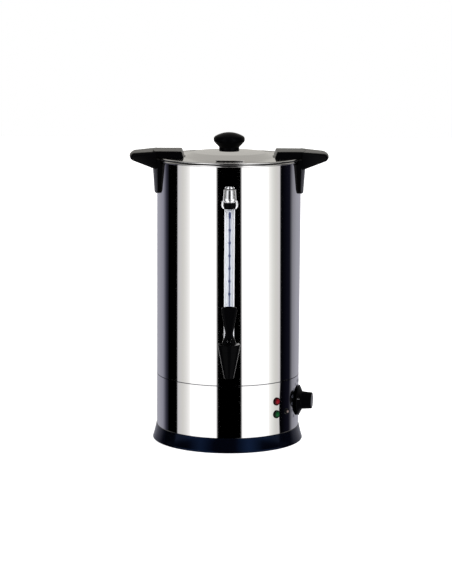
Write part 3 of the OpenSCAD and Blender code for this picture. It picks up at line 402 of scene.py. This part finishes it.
def enamelled_guard(finish):
    """Steel channel with white baked enamel and a blue stripe down its middle, so that the water
    in the glass shows up against it."""
    material = surface("enamelled_guard", ENAMEL_WHITE, 0.28, grain=1.5, lift=0.005, tone=0.02,
                       edge=0.2)
    tree = material.node_tree
    place = add_node(tree, "ShaderNodeSeparateXYZ", None, {"Vector": place_in(material)})
    aside = add_node(tree, "ShaderNodeMath", {1: STRIPE_X}, {0: place.outputs["X"]},
                     operation="SUBTRACT")
    away = add_node(tree, "ShaderNodeMath", None, {0: aside.outputs[0]}, operation="ABSOLUTE")
    stripe = add_node(tree, "ShaderNodeMapRange",
                      {"From Min": STRIPE_FULL, "From Max": STRIPE_END, "To Min": 1.0, "To Max": 0.0},
                      {"Value": away.outputs[0]})
    overlay(material, ENAMEL_BLUE, stripe.outputs["Result"])
    return material


def level_ink(finish):
    """Blue ceramic ink fired on the glass."""
    return surface("level_ink", finish.ink, 0.5, grain=0.3, tone=0.12)


def lamp_lens(node, colour):
    """Tinted polycarbonate with a ribbed inner face: it glows in the middle, and its rim is darkened
    towards the edge with painted shade, in its colour and its glow."""
    material = surface(node + "_tint", colour, 0.12, grain=1.1, lift=0.15, tone=0.3,
                       sockets={"Specular IOR Level": 0.1, "Emission Strength": 0.06})
    tree, shader = shader_of(material)
    low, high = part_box(node)
    middle = (low + high) / 2
    radius = (high.z - low.z) / 2
    out = Vector((middle.x, middle.y, 0)).normalized()
    crown = max(out.dot(v.co) for v in frame["nodes"][node].data.vertices) * out
    crown.z = middle.z
    away = add_node(tree, "ShaderNodeVectorMath", {1: crown}, {0: place_in(material)},
                    operation="DISTANCE")
    rim = add_node(tree, "ShaderNodeMapRange",
                   {"From Min": LENS_CLEAR * radius, "From Max": LENS_DARK * radius},
                   {"Value": away.outputs["Value"]})
    # painted shade: the lens's colour and glow darken towards its rim
    shade = overlay(material, [LENS_RIM_SHADE * c for c in colour[:3]], rim.outputs["Result"])
    tree.links.new(shade, shader.inputs["Emission Color"])
    return material


def ivory_polyamide(finish):
    """Ivory polyamide of the terminal block: waxy and smooth."""
    return surface("ivory_polyamide", linear("#e6dec2"), 0.45, grain=0.6, lift=0.01, edge=0.3)


def white_urea(finish):
    """White urea moulding of the button: hard and glossy, and greyed by age and handling."""
    return surface("white_urea", linear("#756664"), 0.25, grain=0.5, tone=0.02)


def black_polyamide(finish):
    """Black polyamide of the gland, the cut-out and the lamp barrels: satin."""
    return surface("black_polyamide", linear("#0a0a0b"), 0.42, grain=0.4, lift=0.01, edge=0.3,
                   sockets={"Specular IOR Level": 0.1})


def slot_painted_shade(finish):
    """Painted shade down in the slot of the gauge's cap, where little light reaches: matt and black.
    """
    return surface("slot_painted_shade", linear("#101012"), 0.55, grain=0.2, tone=0.1)


def white_print(finish):
    """White pad-printing ink on plastic, worn grey by cleaning."""
    return surface("white_print", linear("#77777a"), 0.5, grain=0.2, tone=0.03)


def grey_print(finish):
    """Grey screen-printing ink on steel: darker than what the steel mirrors."""
    return surface("grey_print", linear("#3e404b"), 0.55, grain=0.2, tone=0.1)


def seam_edge(finish):
    """Rolled edge of the sheet in the joint between tank and skirt: it mirrors, but darker."""
    return surface("seam_edge", linear("#535357"), 0.12, grain=0.8, tone=0.03,
                   sockets={"Metallic": 1.0})


# ---------- pieces ----------

SAME_POINT, SAME_INK_POINT = 0.002 * MM, 0.001 * MM  # points this near each other are one
SHARP_FROM = math.radians(32)
ARC_SAG = 0.01 * MM  # most that an arc's chords leave its circle by
SHORT_ARC_STEPS = 4
SEAM_W, SEAM_T = 1.5 * MM, 0.5 * MM
SEAM_PROUD = 0.06 * MM  # in front of the wall
INK_T = 0.06 * MM
CAPITAL_H = 0.69  # height of a figure over its type size
CURVE_STEPS = 3  # in each curve of a figure
SCALE_FIRST, SCALE_BY, SCALE_COUNT = 30, 5, 14  # degrees Celsius, degrees, figures
SCALE_R = 36 * MM
SCALE_TURN = math.radians(20)
CONE_FOOT, CONE_TOP = Vector((26.5, 1.4)) * MM, Vector((16.6, 6.4)) * MM  # radius and height
POINTER_ENDS = (0.04, 0.68)  # shares of the way from the cone's foot to its top
POINTER_W = 0.9 * MM
POINTER_TURN = math.radians(-75)
LINE_AZIMUTH = math.radians(2)  # of the level line on the glass
LINE_HALF, LEVEL_HALF, FULL_HALF = (math.radians(angle) for angle in (6, 17, 15))
LEVEL_HALF_H, FULL_HALF_H = 1.7 * MM, 5 * MM
LINE_FOOT_GAP, LINE_PAST_FULL = 1 * MM, 6 * MM
LINE_PROUD, LEVEL_PROUD = 0.03 * MM, 0.05 * MM  # in front of the glass
SLOT_ANGLE = math.radians(11)
SLOT_DROP = (0.18 * MM, 1.12 * MM)  # inwards with the cap's cone, at the slot's ends
SLOT_UP = (7.7 * MM, 20.2 * MM)  # of the slot's ends above the cap's foot
SLOT_PROUD = 0.04 * MM
HIGHLIGHT_TOP_T = 0.05 * MM  # a face that lies this near the bonnet's top gets the painted highlight


def object_of(name, bm, material):
    """Makes an object of a bmesh, with its material."""
    mesh = bpy.data.meshes.new(name)
    bm.to_mesh(mesh)
    bm.free()
    mesh.materials.append(material)
    made = bpy.data.objects.new(name, mesh)
    bpy.context.collection.objects.link(made)
    return made


def piece_of(name, bm, material, body):
    """Makes a piece of a bmesh, with the body that it rides on."""
    piece = object_of(name, bm, material)
    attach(piece, body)
    return piece


def finished(node, material):
    """Shows a CAD node as a copy whose triangles are joined, smooth up to the sharp edges."""
    bm = bmesh.new()
    bm.from_mesh(frame["nodes"][node].data)
    bmesh.ops.remove_doubles(bm, verts=bm.verts, dist=SAME_POINT)
    for face in bm.faces:
        face.smooth = True
    for edge in bm.edges:
        edge.smooth = edge.is_manifold and edge.calc_face_angle() < SHARP_FROM
    piece = piece_of(node + "_finish", bm, material, BODY_OF[node])
    weighted = piece.modifiers.new("Weighted normals", "WEIGHTED_NORMAL")
    weighted.mode = "CORNER_ANGLE"
    weighted.keep_sharp = True
    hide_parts(node)
    return piece


def wall_frame(azimuth, height):
    """A frame on the wall: X along it, Y up and Z outwards. Azimuth 0 is the tap's side."""
    out = Vector((math.sin(azimuth), -math.cos(azimuth), 0))
    up = Vector((0, 0, 1))
    along = up.cross(out)
    turned = Matrix((along, up, out)).transposed().to_4x4()
    turned.translation = WALL_R * out + Vector((0, 0, height))
    return turned


def arc_patch(bm, radius, low, high, half_angle, middle, centre):
    """Adds a patch of a cylinder round a vertical axis, as wide as twice the half angle."""
    start = middle - half_angle
    ends = [bm.verts.new(centre + Vector((radius * math.sin(start), -radius * math.cos(start), z)))
            for z in (high, low)]
    edge = bm.edges.new(ends)
    step = 2 * math.sqrt(2 * ARC_SAG / radius)
    bmesh.ops.spin(bm, geom=[*ends, edge], cent=centre, axis=(0, 0, 1), angle=2 * half_angle,
                   steps=max(2, math.ceil(2 * half_angle / step)), use_merge=half_angle == math.pi)


def print_scale(marks, ink):
    """Prints temperatures in steps of five on the wall, in a circle round the dial."""
    middle = Vector(DIAL["pos_m"])
    dial_azimuth = math.atan2(middle.x, -middle.y)
    text = bpy.data.curves.new("scale_figure", "FONT")
    text.align_x, text.align_y = "CENTER", "CENTER"
    text.size = marks.figure_h / CAPITAL_H
    text.extrude = INK_T / 2
    text.resolution_u = CURVE_STEPS
    figure = bpy.data.objects.new("scale_figure", text)
    bm = bmesh.new()
    for step in range(SCALE_COUNT):
        text.body = str(SCALE_FIRST + SCALE_BY * step)
        turn = SCALE_TURN * (step - (SCALE_COUNT - 1) / 2)
        place = wall_frame(dial_azimuth + SCALE_R * math.sin(turn) / WALL_R,
                           middle.z + SCALE_R * math.cos(turn))
        mesh = bpy.data.meshes.new_from_object(figure)
        mesh.transform(place @ Matrix.Translation((0, 0, INK_T / 2)))
        bm.from_mesh(mesh)
        bpy.data.meshes.remove(mesh)
    bpy.data.objects.remove(figure)
    bmesh.ops.remove_doubles(bm, verts=bm.verts, dist=SAME_INK_POINT)
    bmesh.ops.recalc_face_normals(bm, faces=bm.faces)
    return piece_of("dial_scale", bm, ink, "urn")


def print_pointer(ink):
    """Prints the white pointer on the dial's sloping flange, on the side of the lamps."""
    middle = Vector(DIAL["pos_m"])
    out = Vector((middle.x, middle.y, 0)).normalized()
    back = min(out.dot(v.co) for v in frame["nodes"]["control_knob"].data.vertices)
    foot = Vector((0, 0, middle.z)) + back * out
    up = Vector((0, 0, 1))
    aside = math.cos(POINTER_TURN) * up + math.sin(POINTER_TURN) * up.cross(out)
    slope = (CONE_TOP - CONE_FOOT).normalized()
    lift = INK_T / 2 * Vector((slope.y, -slope.x))
    bm = bmesh.new()
    ends = []
    for share in POINTER_ENDS:
        r, h = CONE_FOOT.lerp(CONE_TOP, share) + lift
        ends.append(bm.verts.new(foot + h * out + r * aside))
    half = POINTER_W / 2 / CONE_FOOT.lerp(CONE_TOP, sum(POINTER_ENDS) / 2).x
    bmesh.ops.rotate(bm, verts=ends, cent=foot, matrix=Matrix.Rotation(-half, 3, out))
    edge = bm.edges.new(ends)
    bmesh.ops.spin(bm, geom=[*ends, edge], cent=foot, axis=out, angle=2 * half,
                   steps=SHORT_ARC_STEPS)
    bmesh.ops.recalc_face_normals(bm, faces=bm.faces)
    bmesh.ops.solidify(bm, geom=bm.faces[:], thickness=INK_T)
    return piece_of("dial_pointer", bm, ink, "dial")


def cut_slot(shade):
    """A dark sheet of painted shade laid in the slot down the front of the gauge's cap, which a
    turning tool fits in.
    """
    low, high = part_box("gauge_cap")
    centre = Vector((0, GAUGE_Y, 0))
    radius = (high.x - low.x) / 2 + SLOT_PROUD
    bm = bmesh.new()
    ends = [bm.verts.new(centre + Vector((0, drop - radius, low.z + up)))
            for drop, up in zip(SLOT_DROP, SLOT_UP)]
    bmesh.ops.rotate(bm, verts=ends, cent=centre, matrix=Matrix.Rotation(-SLOT_ANGLE / 2, 3, "Z"))
    edge = bm.edges.new(ends)
    bmesh.ops.spin(bm, geom=[*ends, edge], cent=centre, axis=(0, 0, 1), angle=SLOT_ANGLE,
                   steps=SHORT_ARC_STEPS)
    bmesh.ops.recalc_face_normals(bm, faces=bm.faces)
    return piece_of("gauge_cap_slot", bm, shade, "urn")


def line_seam(steel):
    """The dark line that the joint between the tank and the skirt makes round the wall."""
    bm = bmesh.new()
    middle = (TANK_LOW.z + SKIRT_HIGH.z) / 2
    arc_patch(bm, WALL_R + SEAM_PROUD, middle - SEAM_W / 2, middle + SEAM_W / 2, math.pi, 0,
              Vector((0, 0, 0)))
    bmesh.ops.recalc_face_normals(bm, faces=bm.faces)
    bmesh.ops.solidify(bm, geom=bm.faces[:], thickness=SEAM_T)
    return piece_of("seam_line", bm, steel, "urn")


def print_levels(marks, ink):
    """Prints a line up the glass with a dash at each level and a longer one where it is full."""
    bm = bmesh.new()
    centre = Vector((0, GAUGE_Y, 0))
    arc_patch(bm, GLASS_R + LINE_PROUD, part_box("tap_shank")[1].z + LINE_FOOT_GAP,
              marks.full_level + LINE_PAST_FULL, LINE_HALF, LINE_AZIMUTH, centre)
    for level in range(marks.level_count):
        height = marks.lowest_level + level * marks.level_pitch
        arc_patch(bm, GLASS_R + LEVEL_PROUD, height - LEVEL_HALF_H, height + LEVEL_HALF_H,
                  LEVEL_HALF, LINE_AZIMUTH, centre)
    arc_patch(bm, GLASS_R + LEVEL_PROUD, marks.full_level - FULL_HALF_H,
              marks.full_level + FULL_HALF_H, FULL_HALF, LINE_AZIMUTH, centre)
    return piece_of("level_marks", bm, ink, "urn")


class UrnStep(bpy.types.Operator):
    """Common ground of the urn's operators"""

    bl_options = {"REGISTER", "UNDO"}


class URN_OT_tank(UrnStep):
    """Polish the tank, the skirt and the floor, and line the seam between them"""

    bl_idname = "urn.tank"
    bl_label = "Tank"

    def execute(self, context):
        for node in ("tank_shell", "skirt"):
            finished(node, stock(polished_stainless))
        finished("tank_floor", stock(satin_stainless))
        line_seam(stock(seam_edge))
        return {"FINISHED"}


class URN_OT_base(UrnStep):
    """Finish the base ring, the base plate and the feet"""

    bl_idname = "urn.base"
    bl_label = "Base"

    def execute(self, context):
        finished("base_ring", stock(base_ring_abs))
        finished("base_plate", stock(zinc_plate))
        finished("feet", stock(black_rubber))
        return {"FINISHED"}


class URN_OT_lid(UrnStep):
    """Finish the lid, its seal and its knob"""

    bl_idname = "urn.lid"
    bl_label = "Lid"

    def execute(self, context):
        finished("lid_plate", stock(pressed_lid_stainless))
        finished("lid_seal", stock(black_rubber))
        finished("lid_knob", stock(glossy_phenolic)).visible_glossy = False
        return {"FINISHED"}


class URN_OT_grips(UrnStep):
    """Finish the grips on the tank and the ears on the lid"""

    bl_idname = "urn.grips"
    bl_label = "Grips and ears"

    def execute(self, context):
        for node in ("handle_left", "handle_right", "lid_ear_left", "lid_ear_right"):
            finished(node, stock(moulded_polypropylene))
        return {"FINISHED"}


class URN_OT_gauge(UrnStep):
    """Finish the sight gauge and print its level marks"""

    bl_idname = "urn.gauge"
    bl_label = "Sight gauge"

    def execute(self, context):
        shown = [finished("gauge_glass", stock(borosilicate_glass)),
                 finished("gauge_guard", stock(enamelled_guard)),
                 finished("gauge_collar", stock(glossy_phenolic)),
                 finished("gauge_cap", stock(satin_nickel)),
                 finished("gauge_bracket", stock(chrome_plate))]
        finished("gauge_seal", stock(silicone_rubber))
        shown.append(print_levels(context.scene.urn_marks, stock(level_ink)))
        # painted shade: a dark sheet laid in the cap's slot
        shown.append(cut_slot(stock(slot_painted_shade)))
        for piece in shown:
            piece.visible_glossy = False
        return {"FINISHED"}


class URN_OT_tap(UrnStep):
    """Finish the tap from its shank to its lever"""

    bl_idname = "urn.tap"
    bl_label = "Tap"

    def execute(self, context):
        for node in ("tap_body", "tap_lever", "valve_stem"):
            finished(node, stock(black_nylon))
        bonnet = finished("tap_bonnet", stock(black_nylon))
        # painted highlight: the bonnet's top faces get a more reflective copy of the nylon
        bonnet.data.materials.append(stock(nylon_painted_highlight))
        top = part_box("tap_bonnet")[1].z
        for face in bonnet.data.polygons:
            if face.center.z > top - HIGHLIGHT_TOP_T:
                face.material_index = 1
        for node in ("tap_shank", "shank_nut"):
            finished(node, stock(chrome_plate))
        for node in ("shank_gasket", "inner_gasket", "seat_cup"):
            finished(node, stock(silicone_rubber))
        finished("lever_pin", stock(zinc_plate))
        spring = finished("tap_spring", stock(zinc_plate))
        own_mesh(spring)
        return {"FINISHED"}


class URN_OT_controls(UrnStep):
    """Finish the dial, the reset button and the lamps, and print the dial's scale"""

    bl_idname = "urn.controls"
    bl_label = "Controls"

    def execute(self, context):
        finish = context.scene.urn_finish
        finished("control_knob", stock(glossy_phenolic))
        finished("knob_cap", stock(spun_aluminium))
        finished("reset_button", stock(white_urea)).visible_glossy = False
        finished("heating_lamp_lens", lamp_lens("heating_lamp_lens", finish.heating))
        finished("warm_lamp_lens", lamp_lens("warm_lamp_lens", finish.warm))
        for node in ("heating_lamp_housing", "warm_lamp_housing", "cutout_nut", "cable_gland",
                     "gland_nut"):
            finished(node, stock(black_polyamide))
        print_scale(context.scene.urn_marks, stock(grey_print))
        print_pointer(stock(white_print)).visible_glossy = False
        return {"FINISHED"}


class URN_OT_heater(UrnStep):
    """Finish the heater and what is wired to it under the floor"""

    bl_idname = "urn.heater"
    bl_label = "Heater"

    def execute(self, context):
        finished("heat_plate", stock(cast_aluminium))
        finished("heating_element", stock(heated_sheath))
        finished("thermostat_body", stock(steatite))
        finished("cutout_body", stock(black_polyamide)).visible_glossy = False
        finished("thermostat_bulb", stock(drawn_copper))
        finished("earth_stud", stock(turned_brass))
        finished("terminal_block", stock(ivory_polyamide))
        return {"FINISHED"}


class URN_OT_fasteners(UrnStep):
    """Finish the screws, nuts, clips and washers"""

    bl_idname = "urn.fasteners"
    bl_label = "Fasteners"

    def execute(self, context):
        for node in ("base_screws", "plate_screws", "element_clamp", "clamp_nut",
                     "thermostat_screws", "thermostat_spindle", "lamp_clips", "handle_screws",
                     "gauge_screw", "ear_screws"):
            finished(node, stock(zinc_plate))
        finished("lid_knob_screw", stock(zinc_plate)).visible_glossy = False
        finished("handle_washers", stock(silicone_rubber))
        return {"FINISHED"}


# ---------- studio ----------

TENT_R, TENT_SIDES = 2.4, 72
TENT_LOW, TENT_HIGH = -5.0, 5.0
FLOOR_HALF_W = 6.0
FLOOR_GLOW = 0.7  # what the floor adds for the camera, so that it shows white
KEY_SPREAD = math.radians(50)
KEY_TURN = (math.radians(62), 0, math.radians(15))
AIM = Vector((-4.1, 0, 259.5)) * MM  # what the camera looks at, before it goes round
CAMERA_REACH = 20
ROOM_GREY = (0.42, 0.41, 0.4, 1)
WHITE = (1.0, 1.0, 1.0)
BLACK = (0.0, 0.0, 0.0)

# Round the object, from behind over the left to the front and over the right to behind again:
# azimuth in degrees from the camera's side, and the tent's radiance there over the white's
TENT_BANDS = [
    (-180, (0.25, 0.25, 0.29)), (-144, (0.25, 0.25, 0.29)), (-128, (0.2, 0.2, 0.245)),
    (-117, (0.03, 0.03, 0.045)), (-109, BLACK), (-87.8, BLACK),
    (-87.0, (0.465, 0.46, 0.475)), (-76, (0.545, 0.54, 0.515)), (-70, (0.63, 0.625, 0.61)),
    (-64, (0.78, 0.775, 0.76)), (-60.5, WHITE), (-18.9, WHITE), (-18.1, BLACK),
    (19.3, BLACK), (20.1, WHITE), (63, WHITE), (67, (0.77, 0.765, 0.74)),
    (73, (0.62, 0.625, 0.6)), (79, (0.54, 0.535, 0.51)), (88.0, (0.5, 0.49, 0.495)),
    (88.8, BLACK), (113, (0.005, 0.005, 0.01)), (122.8, (0.19, 0.19, 0.215)),
    (136, (0.25, 0.25, 0.285)), (180, (0.25, 0.25, 0.285))]

# The same above the softboxes: dark to the front but for two soft glows, grey behind
UPPER_GREY = (0.33, 0.322, 0.3)
UPPER_BANDS = [
    (-180, UPPER_GREY), (-110, UPPER_GREY), (-85, BLACK), (-62, BLACK), (-42, (0.75, 0.75, 0.75)),
    (-22, BLACK), (12, BLACK), (33, (1.1, 1.1, 1.1)), (56, BLACK), (85, BLACK),
    (110, UPPER_GREY), (180, UPPER_GREY)]
UPPER_FROM = (0.29, 0.42)  # heights where they begin and where they are full
BAND_LEAN = 0.0109  # turns per metre: the softboxes' edges lean, so that they show upright
BAND_SPREAD = 0.036  # share of its azimuth that an edge moves inwards by, per metre
LEAN_FROM, LEAN_REACH = 0.08, 0.6  # heights where the lean is none and where it stops growing


def add_bands(tree, bands, share):
    """Adds a ramp of the bands, which are azimuths with a colour each."""
    ramp = add_node(tree, "ShaderNodeValToRGB", None, {"Fac": share})
    stops = ramp.color_ramp.elements
    stops[0].position = 0
    stops[1].position = 1
    for azimuth, colour in bands[1:-1]:
        stops.new(0.5 + azimuth / 360)
    for stop, (azimuth, colour) in zip(stops, bands):
        stop.color = (*colour, 1)
    return ramp.outputs["Color"]


def tent_material(studio):
    """Light of the tent: white softboxes with black flags between them."""
    material = bpy.data.materials.new("light_tent")
    material.use_nodes = True
    tree = material.node_tree
    tree.nodes.clear()
    place = add_node(tree, "ShaderNodeTexCoord").outputs["Object"]
    turned = add_node(tree, "ShaderNodeMapping",
                      {"Rotation": (0, 0, math.pi / 2 - studio.orbit)}, {"Vector": place})
    round_it = add_node(tree, "ShaderNodeTexGradient", None, {"Vector": turned.outputs["Vector"]},
                        gradient_type="RADIAL")
    height = add_node(tree, "ShaderNodeSeparateXYZ", None, {"Vector": place}).outputs["Z"]
    rise = add_node(tree, "ShaderNodeMapRange",
                    {"From Min": -LEAN_REACH, "From Max": LEAN_REACH,
                     "To Min": -LEAN_REACH - LEAN_FROM, "To Max": LEAN_REACH - LEAN_FROM},
                    {"Value": height})
    lean = add_node(tree, "ShaderNodeMath", {1: BAND_SPREAD, 2: BAND_LEAN - BAND_SPREAD / 2},
                    {0: round_it.outputs["Fac"]}, operation="MULTIPLY_ADD")
    leant = add_node(tree, "ShaderNodeMath", None,
                     {0: rise.outputs["Result"], 1: lean.outputs[0], 2: round_it.outputs["Fac"]},
                     operation="MULTIPLY_ADD")
    upper = add_node(tree, "ShaderNodeMapRange",
                     {"From Min": UPPER_FROM[0], "From Max": UPPER_FROM[1]}, {"Value": height})
    both = add_node(tree, "ShaderNodeMix", None,
                    {0: upper.outputs["Result"], 6: add_bands(tree, TENT_BANDS, leant.outputs[0]),
                     7: add_bands(tree, UPPER_BANDS, round_it.outputs["Fac"])}, data_type="RGBA")
    glow = add_node(tree, "ShaderNodeEmission", {"Strength": studio.white},
                    {"Color": both.outputs[2]})
    add_node(tree, "ShaderNodeOutputMaterial", None, {"Surface": glow.outputs["Emission"]})
    return material


def floor_material():
    """Pale floor: white to the camera, with a faint shadow under the object."""
    material = bpy.data.materials.new("studio_floor")
    material.use_nodes = True
    tree, shader = shader_of(material)
    shader.inputs["Base Color"].default_value = (*linear("#f4f4f4"), 1)
    shader.inputs["Roughness"].default_value = 0.9
    sees = add_node(tree, "ShaderNodeLightPath").outputs["Is Camera Ray"]
    seen = add_node(tree, "ShaderNodeMath", {1: FLOOR_GLOW}, {0: sees}, operation="MULTIPLY")
    white = add_node(tree, "ShaderNodeEmission", {"Color": (1, 1, 1, 1)},
                     {"Strength": seen.outputs[0]})
    both = add_node(tree, "ShaderNodeAddShader", None,
                    {0: shader.outputs["BSDF"], 1: white.outputs[0]})
    tree.links.new(both.outputs[0], tree.nodes["Material Output"].inputs["Surface"])
    return material


def white_world(scene):
    """A world that is white to the camera and a quiet grey to the object."""
    world = bpy.data.worlds.new("studio")
    world.use_nodes = True
    tree = world.node_tree
    tree.nodes.clear()
    sees = add_node(tree, "ShaderNodeLightPath").outputs["Is Camera Ray"]
    shade = add_node(tree, "ShaderNodeMix", {6: ROOM_GREY, 7: (*WHITE, 1)}, {0: sees},
                     data_type="RGBA")
    back = add_node(tree, "ShaderNodeBackground", None, {"Color": shade.outputs[2]})
    add_node(tree, "ShaderNodeOutputWorld", None, {"Surface": back.outputs[0]})
    scene.world = world


def stage_piece(name, bm, material):
    """Makes a piece of the studio, which is no part of the object."""
    piece = object_of(name, bm, material)
    return piece


class URN_OT_stage(UrnStep):
    """Set up the floor, the light tent, the world and the camera"""

    bl_idname = "urn.stage"
    bl_label = "Studio"

    def execute(self, context):
        scene = context.scene
        studio = scene.urn_studio
        scene.view_settings.view_transform = "Standard"
        white_world(scene)

        bm = bmesh.new()
        bmesh.ops.create_grid(bm, x_segments=1, y_segments=1, size=FLOOR_HALF_W)
        floor = stage_piece("floor", bm, floor_material())
        floor.visible_glossy = False

        bm = bmesh.new()
        ring = bmesh.ops.create_circle(bm, segments=TENT_SIDES, radius=TENT_R)["verts"]
        bmesh.ops.translate(bm, verts=ring, vec=(0, 0, TENT_LOW))
        wall = bmesh.ops.extrude_edge_only(bm, edges=bm.edges[:])["geom"]
        bmesh.ops.translate(bm, vec=(0, 0, TENT_HIGH - TENT_LOW),
                            verts=[v for v in wall if isinstance(v, bmesh.types.BMVert)])
        tent = stage_piece("light_tent", bm, tent_material(studio))
        tent.visible_camera = False
        tent.visible_shadow = False

        light = bpy.data.lights.new("soft_key", "SUN")
        light.energy = studio.key
        light.angle = KEY_SPREAD
        key = bpy.data.objects.new("soft_key", light)
        context.collection.objects.link(key)
        key.rotation_euler = KEY_TURN
        key.visible_glossy = False

        camera = bpy.data.objects.new("camera", bpy.data.cameras.new("camera"))
        context.collection.objects.link(camera)
        camera.data.lens = studio.lens
        camera.data.clip_end = CAMERA_REACH
        turn = Matrix.Rotation(studio.orbit, 3, "Z")
        back = turn @ Vector((0, -math.cos(studio.elevation), math.sin(studio.elevation)))
        right = Vector((0, 0, 1)).cross(back).normalized()
        up = back.cross(right)
        right, up = (math.cos(studio.roll) * right + math.sin(studio.roll) * up,
                     math.cos(studio.roll) * up - math.sin(studio.roll) * right)
        placed = Matrix((right, up, back)).transposed().to_4x4()
        placed.translation = turn @ AIM + studio.distance * back
        camera.matrix_world = placed
        scene.camera = camera
        return {"FINISHED"}


class URN_PT_steps(bpy.types.Panel):
    """Lists the steps that finish the urn"""

    bl_idname = "URN_PT_steps"
    bl_label = "Hot Water Urn"
    bl_space_type = "VIEW_3D"
    bl_region_type = "UI"
    bl_category = "Urn"

    def draw(self, context):
        for step in STEPS:
            self.layout.operator(step.bl_idname)
        for settings in (context.scene.urn_finish, context.scene.urn_marks,
                         context.scene.urn_studio):
            box = self.layout.box()
            for name in settings.__annotations__:
                box.prop(settings, name)


STEPS = [URN_OT_stage, URN_OT_tank, URN_OT_base, URN_OT_lid, URN_OT_grips, URN_OT_gauge,
         URN_OT_tap, URN_OT_controls, URN_OT_heater, URN_OT_fasteners]
CLASSES = [UrnFinish, UrnMarks, UrnStudio, *STEPS, URN_PT_steps]


def register():
    for made in CLASSES:
        bpy.utils.register_class(made)
    bpy.types.Scene.urn_finish = PointerProperty(type=UrnFinish)
    bpy.types.Scene.urn_marks = PointerProperty(type=UrnMarks)
    bpy.types.Scene.urn_studio = PointerProperty(type=UrnStudio)


def unregister():
    del bpy.types.Scene.urn_studio
    del bpy.types.Scene.urn_marks
    del bpy.types.Scene.urn_finish
    for made in reversed(CLASSES):
        bpy.utils.unregister_class(made)


def main():
    register()
    bpy.ops.urn.stage()
    bpy.ops.urn.tank()
    bpy.ops.urn.base()
    bpy.ops.urn.lid()
    bpy.ops.urn.grips()
    bpy.ops.urn.gauge()
    bpy.ops.urn.tap()
    bpy.ops.urn.controls()
    bpy.ops.urn.heater()
    bpy.ops.urn.fasteners()


if __name__ == "__main__":
    main()
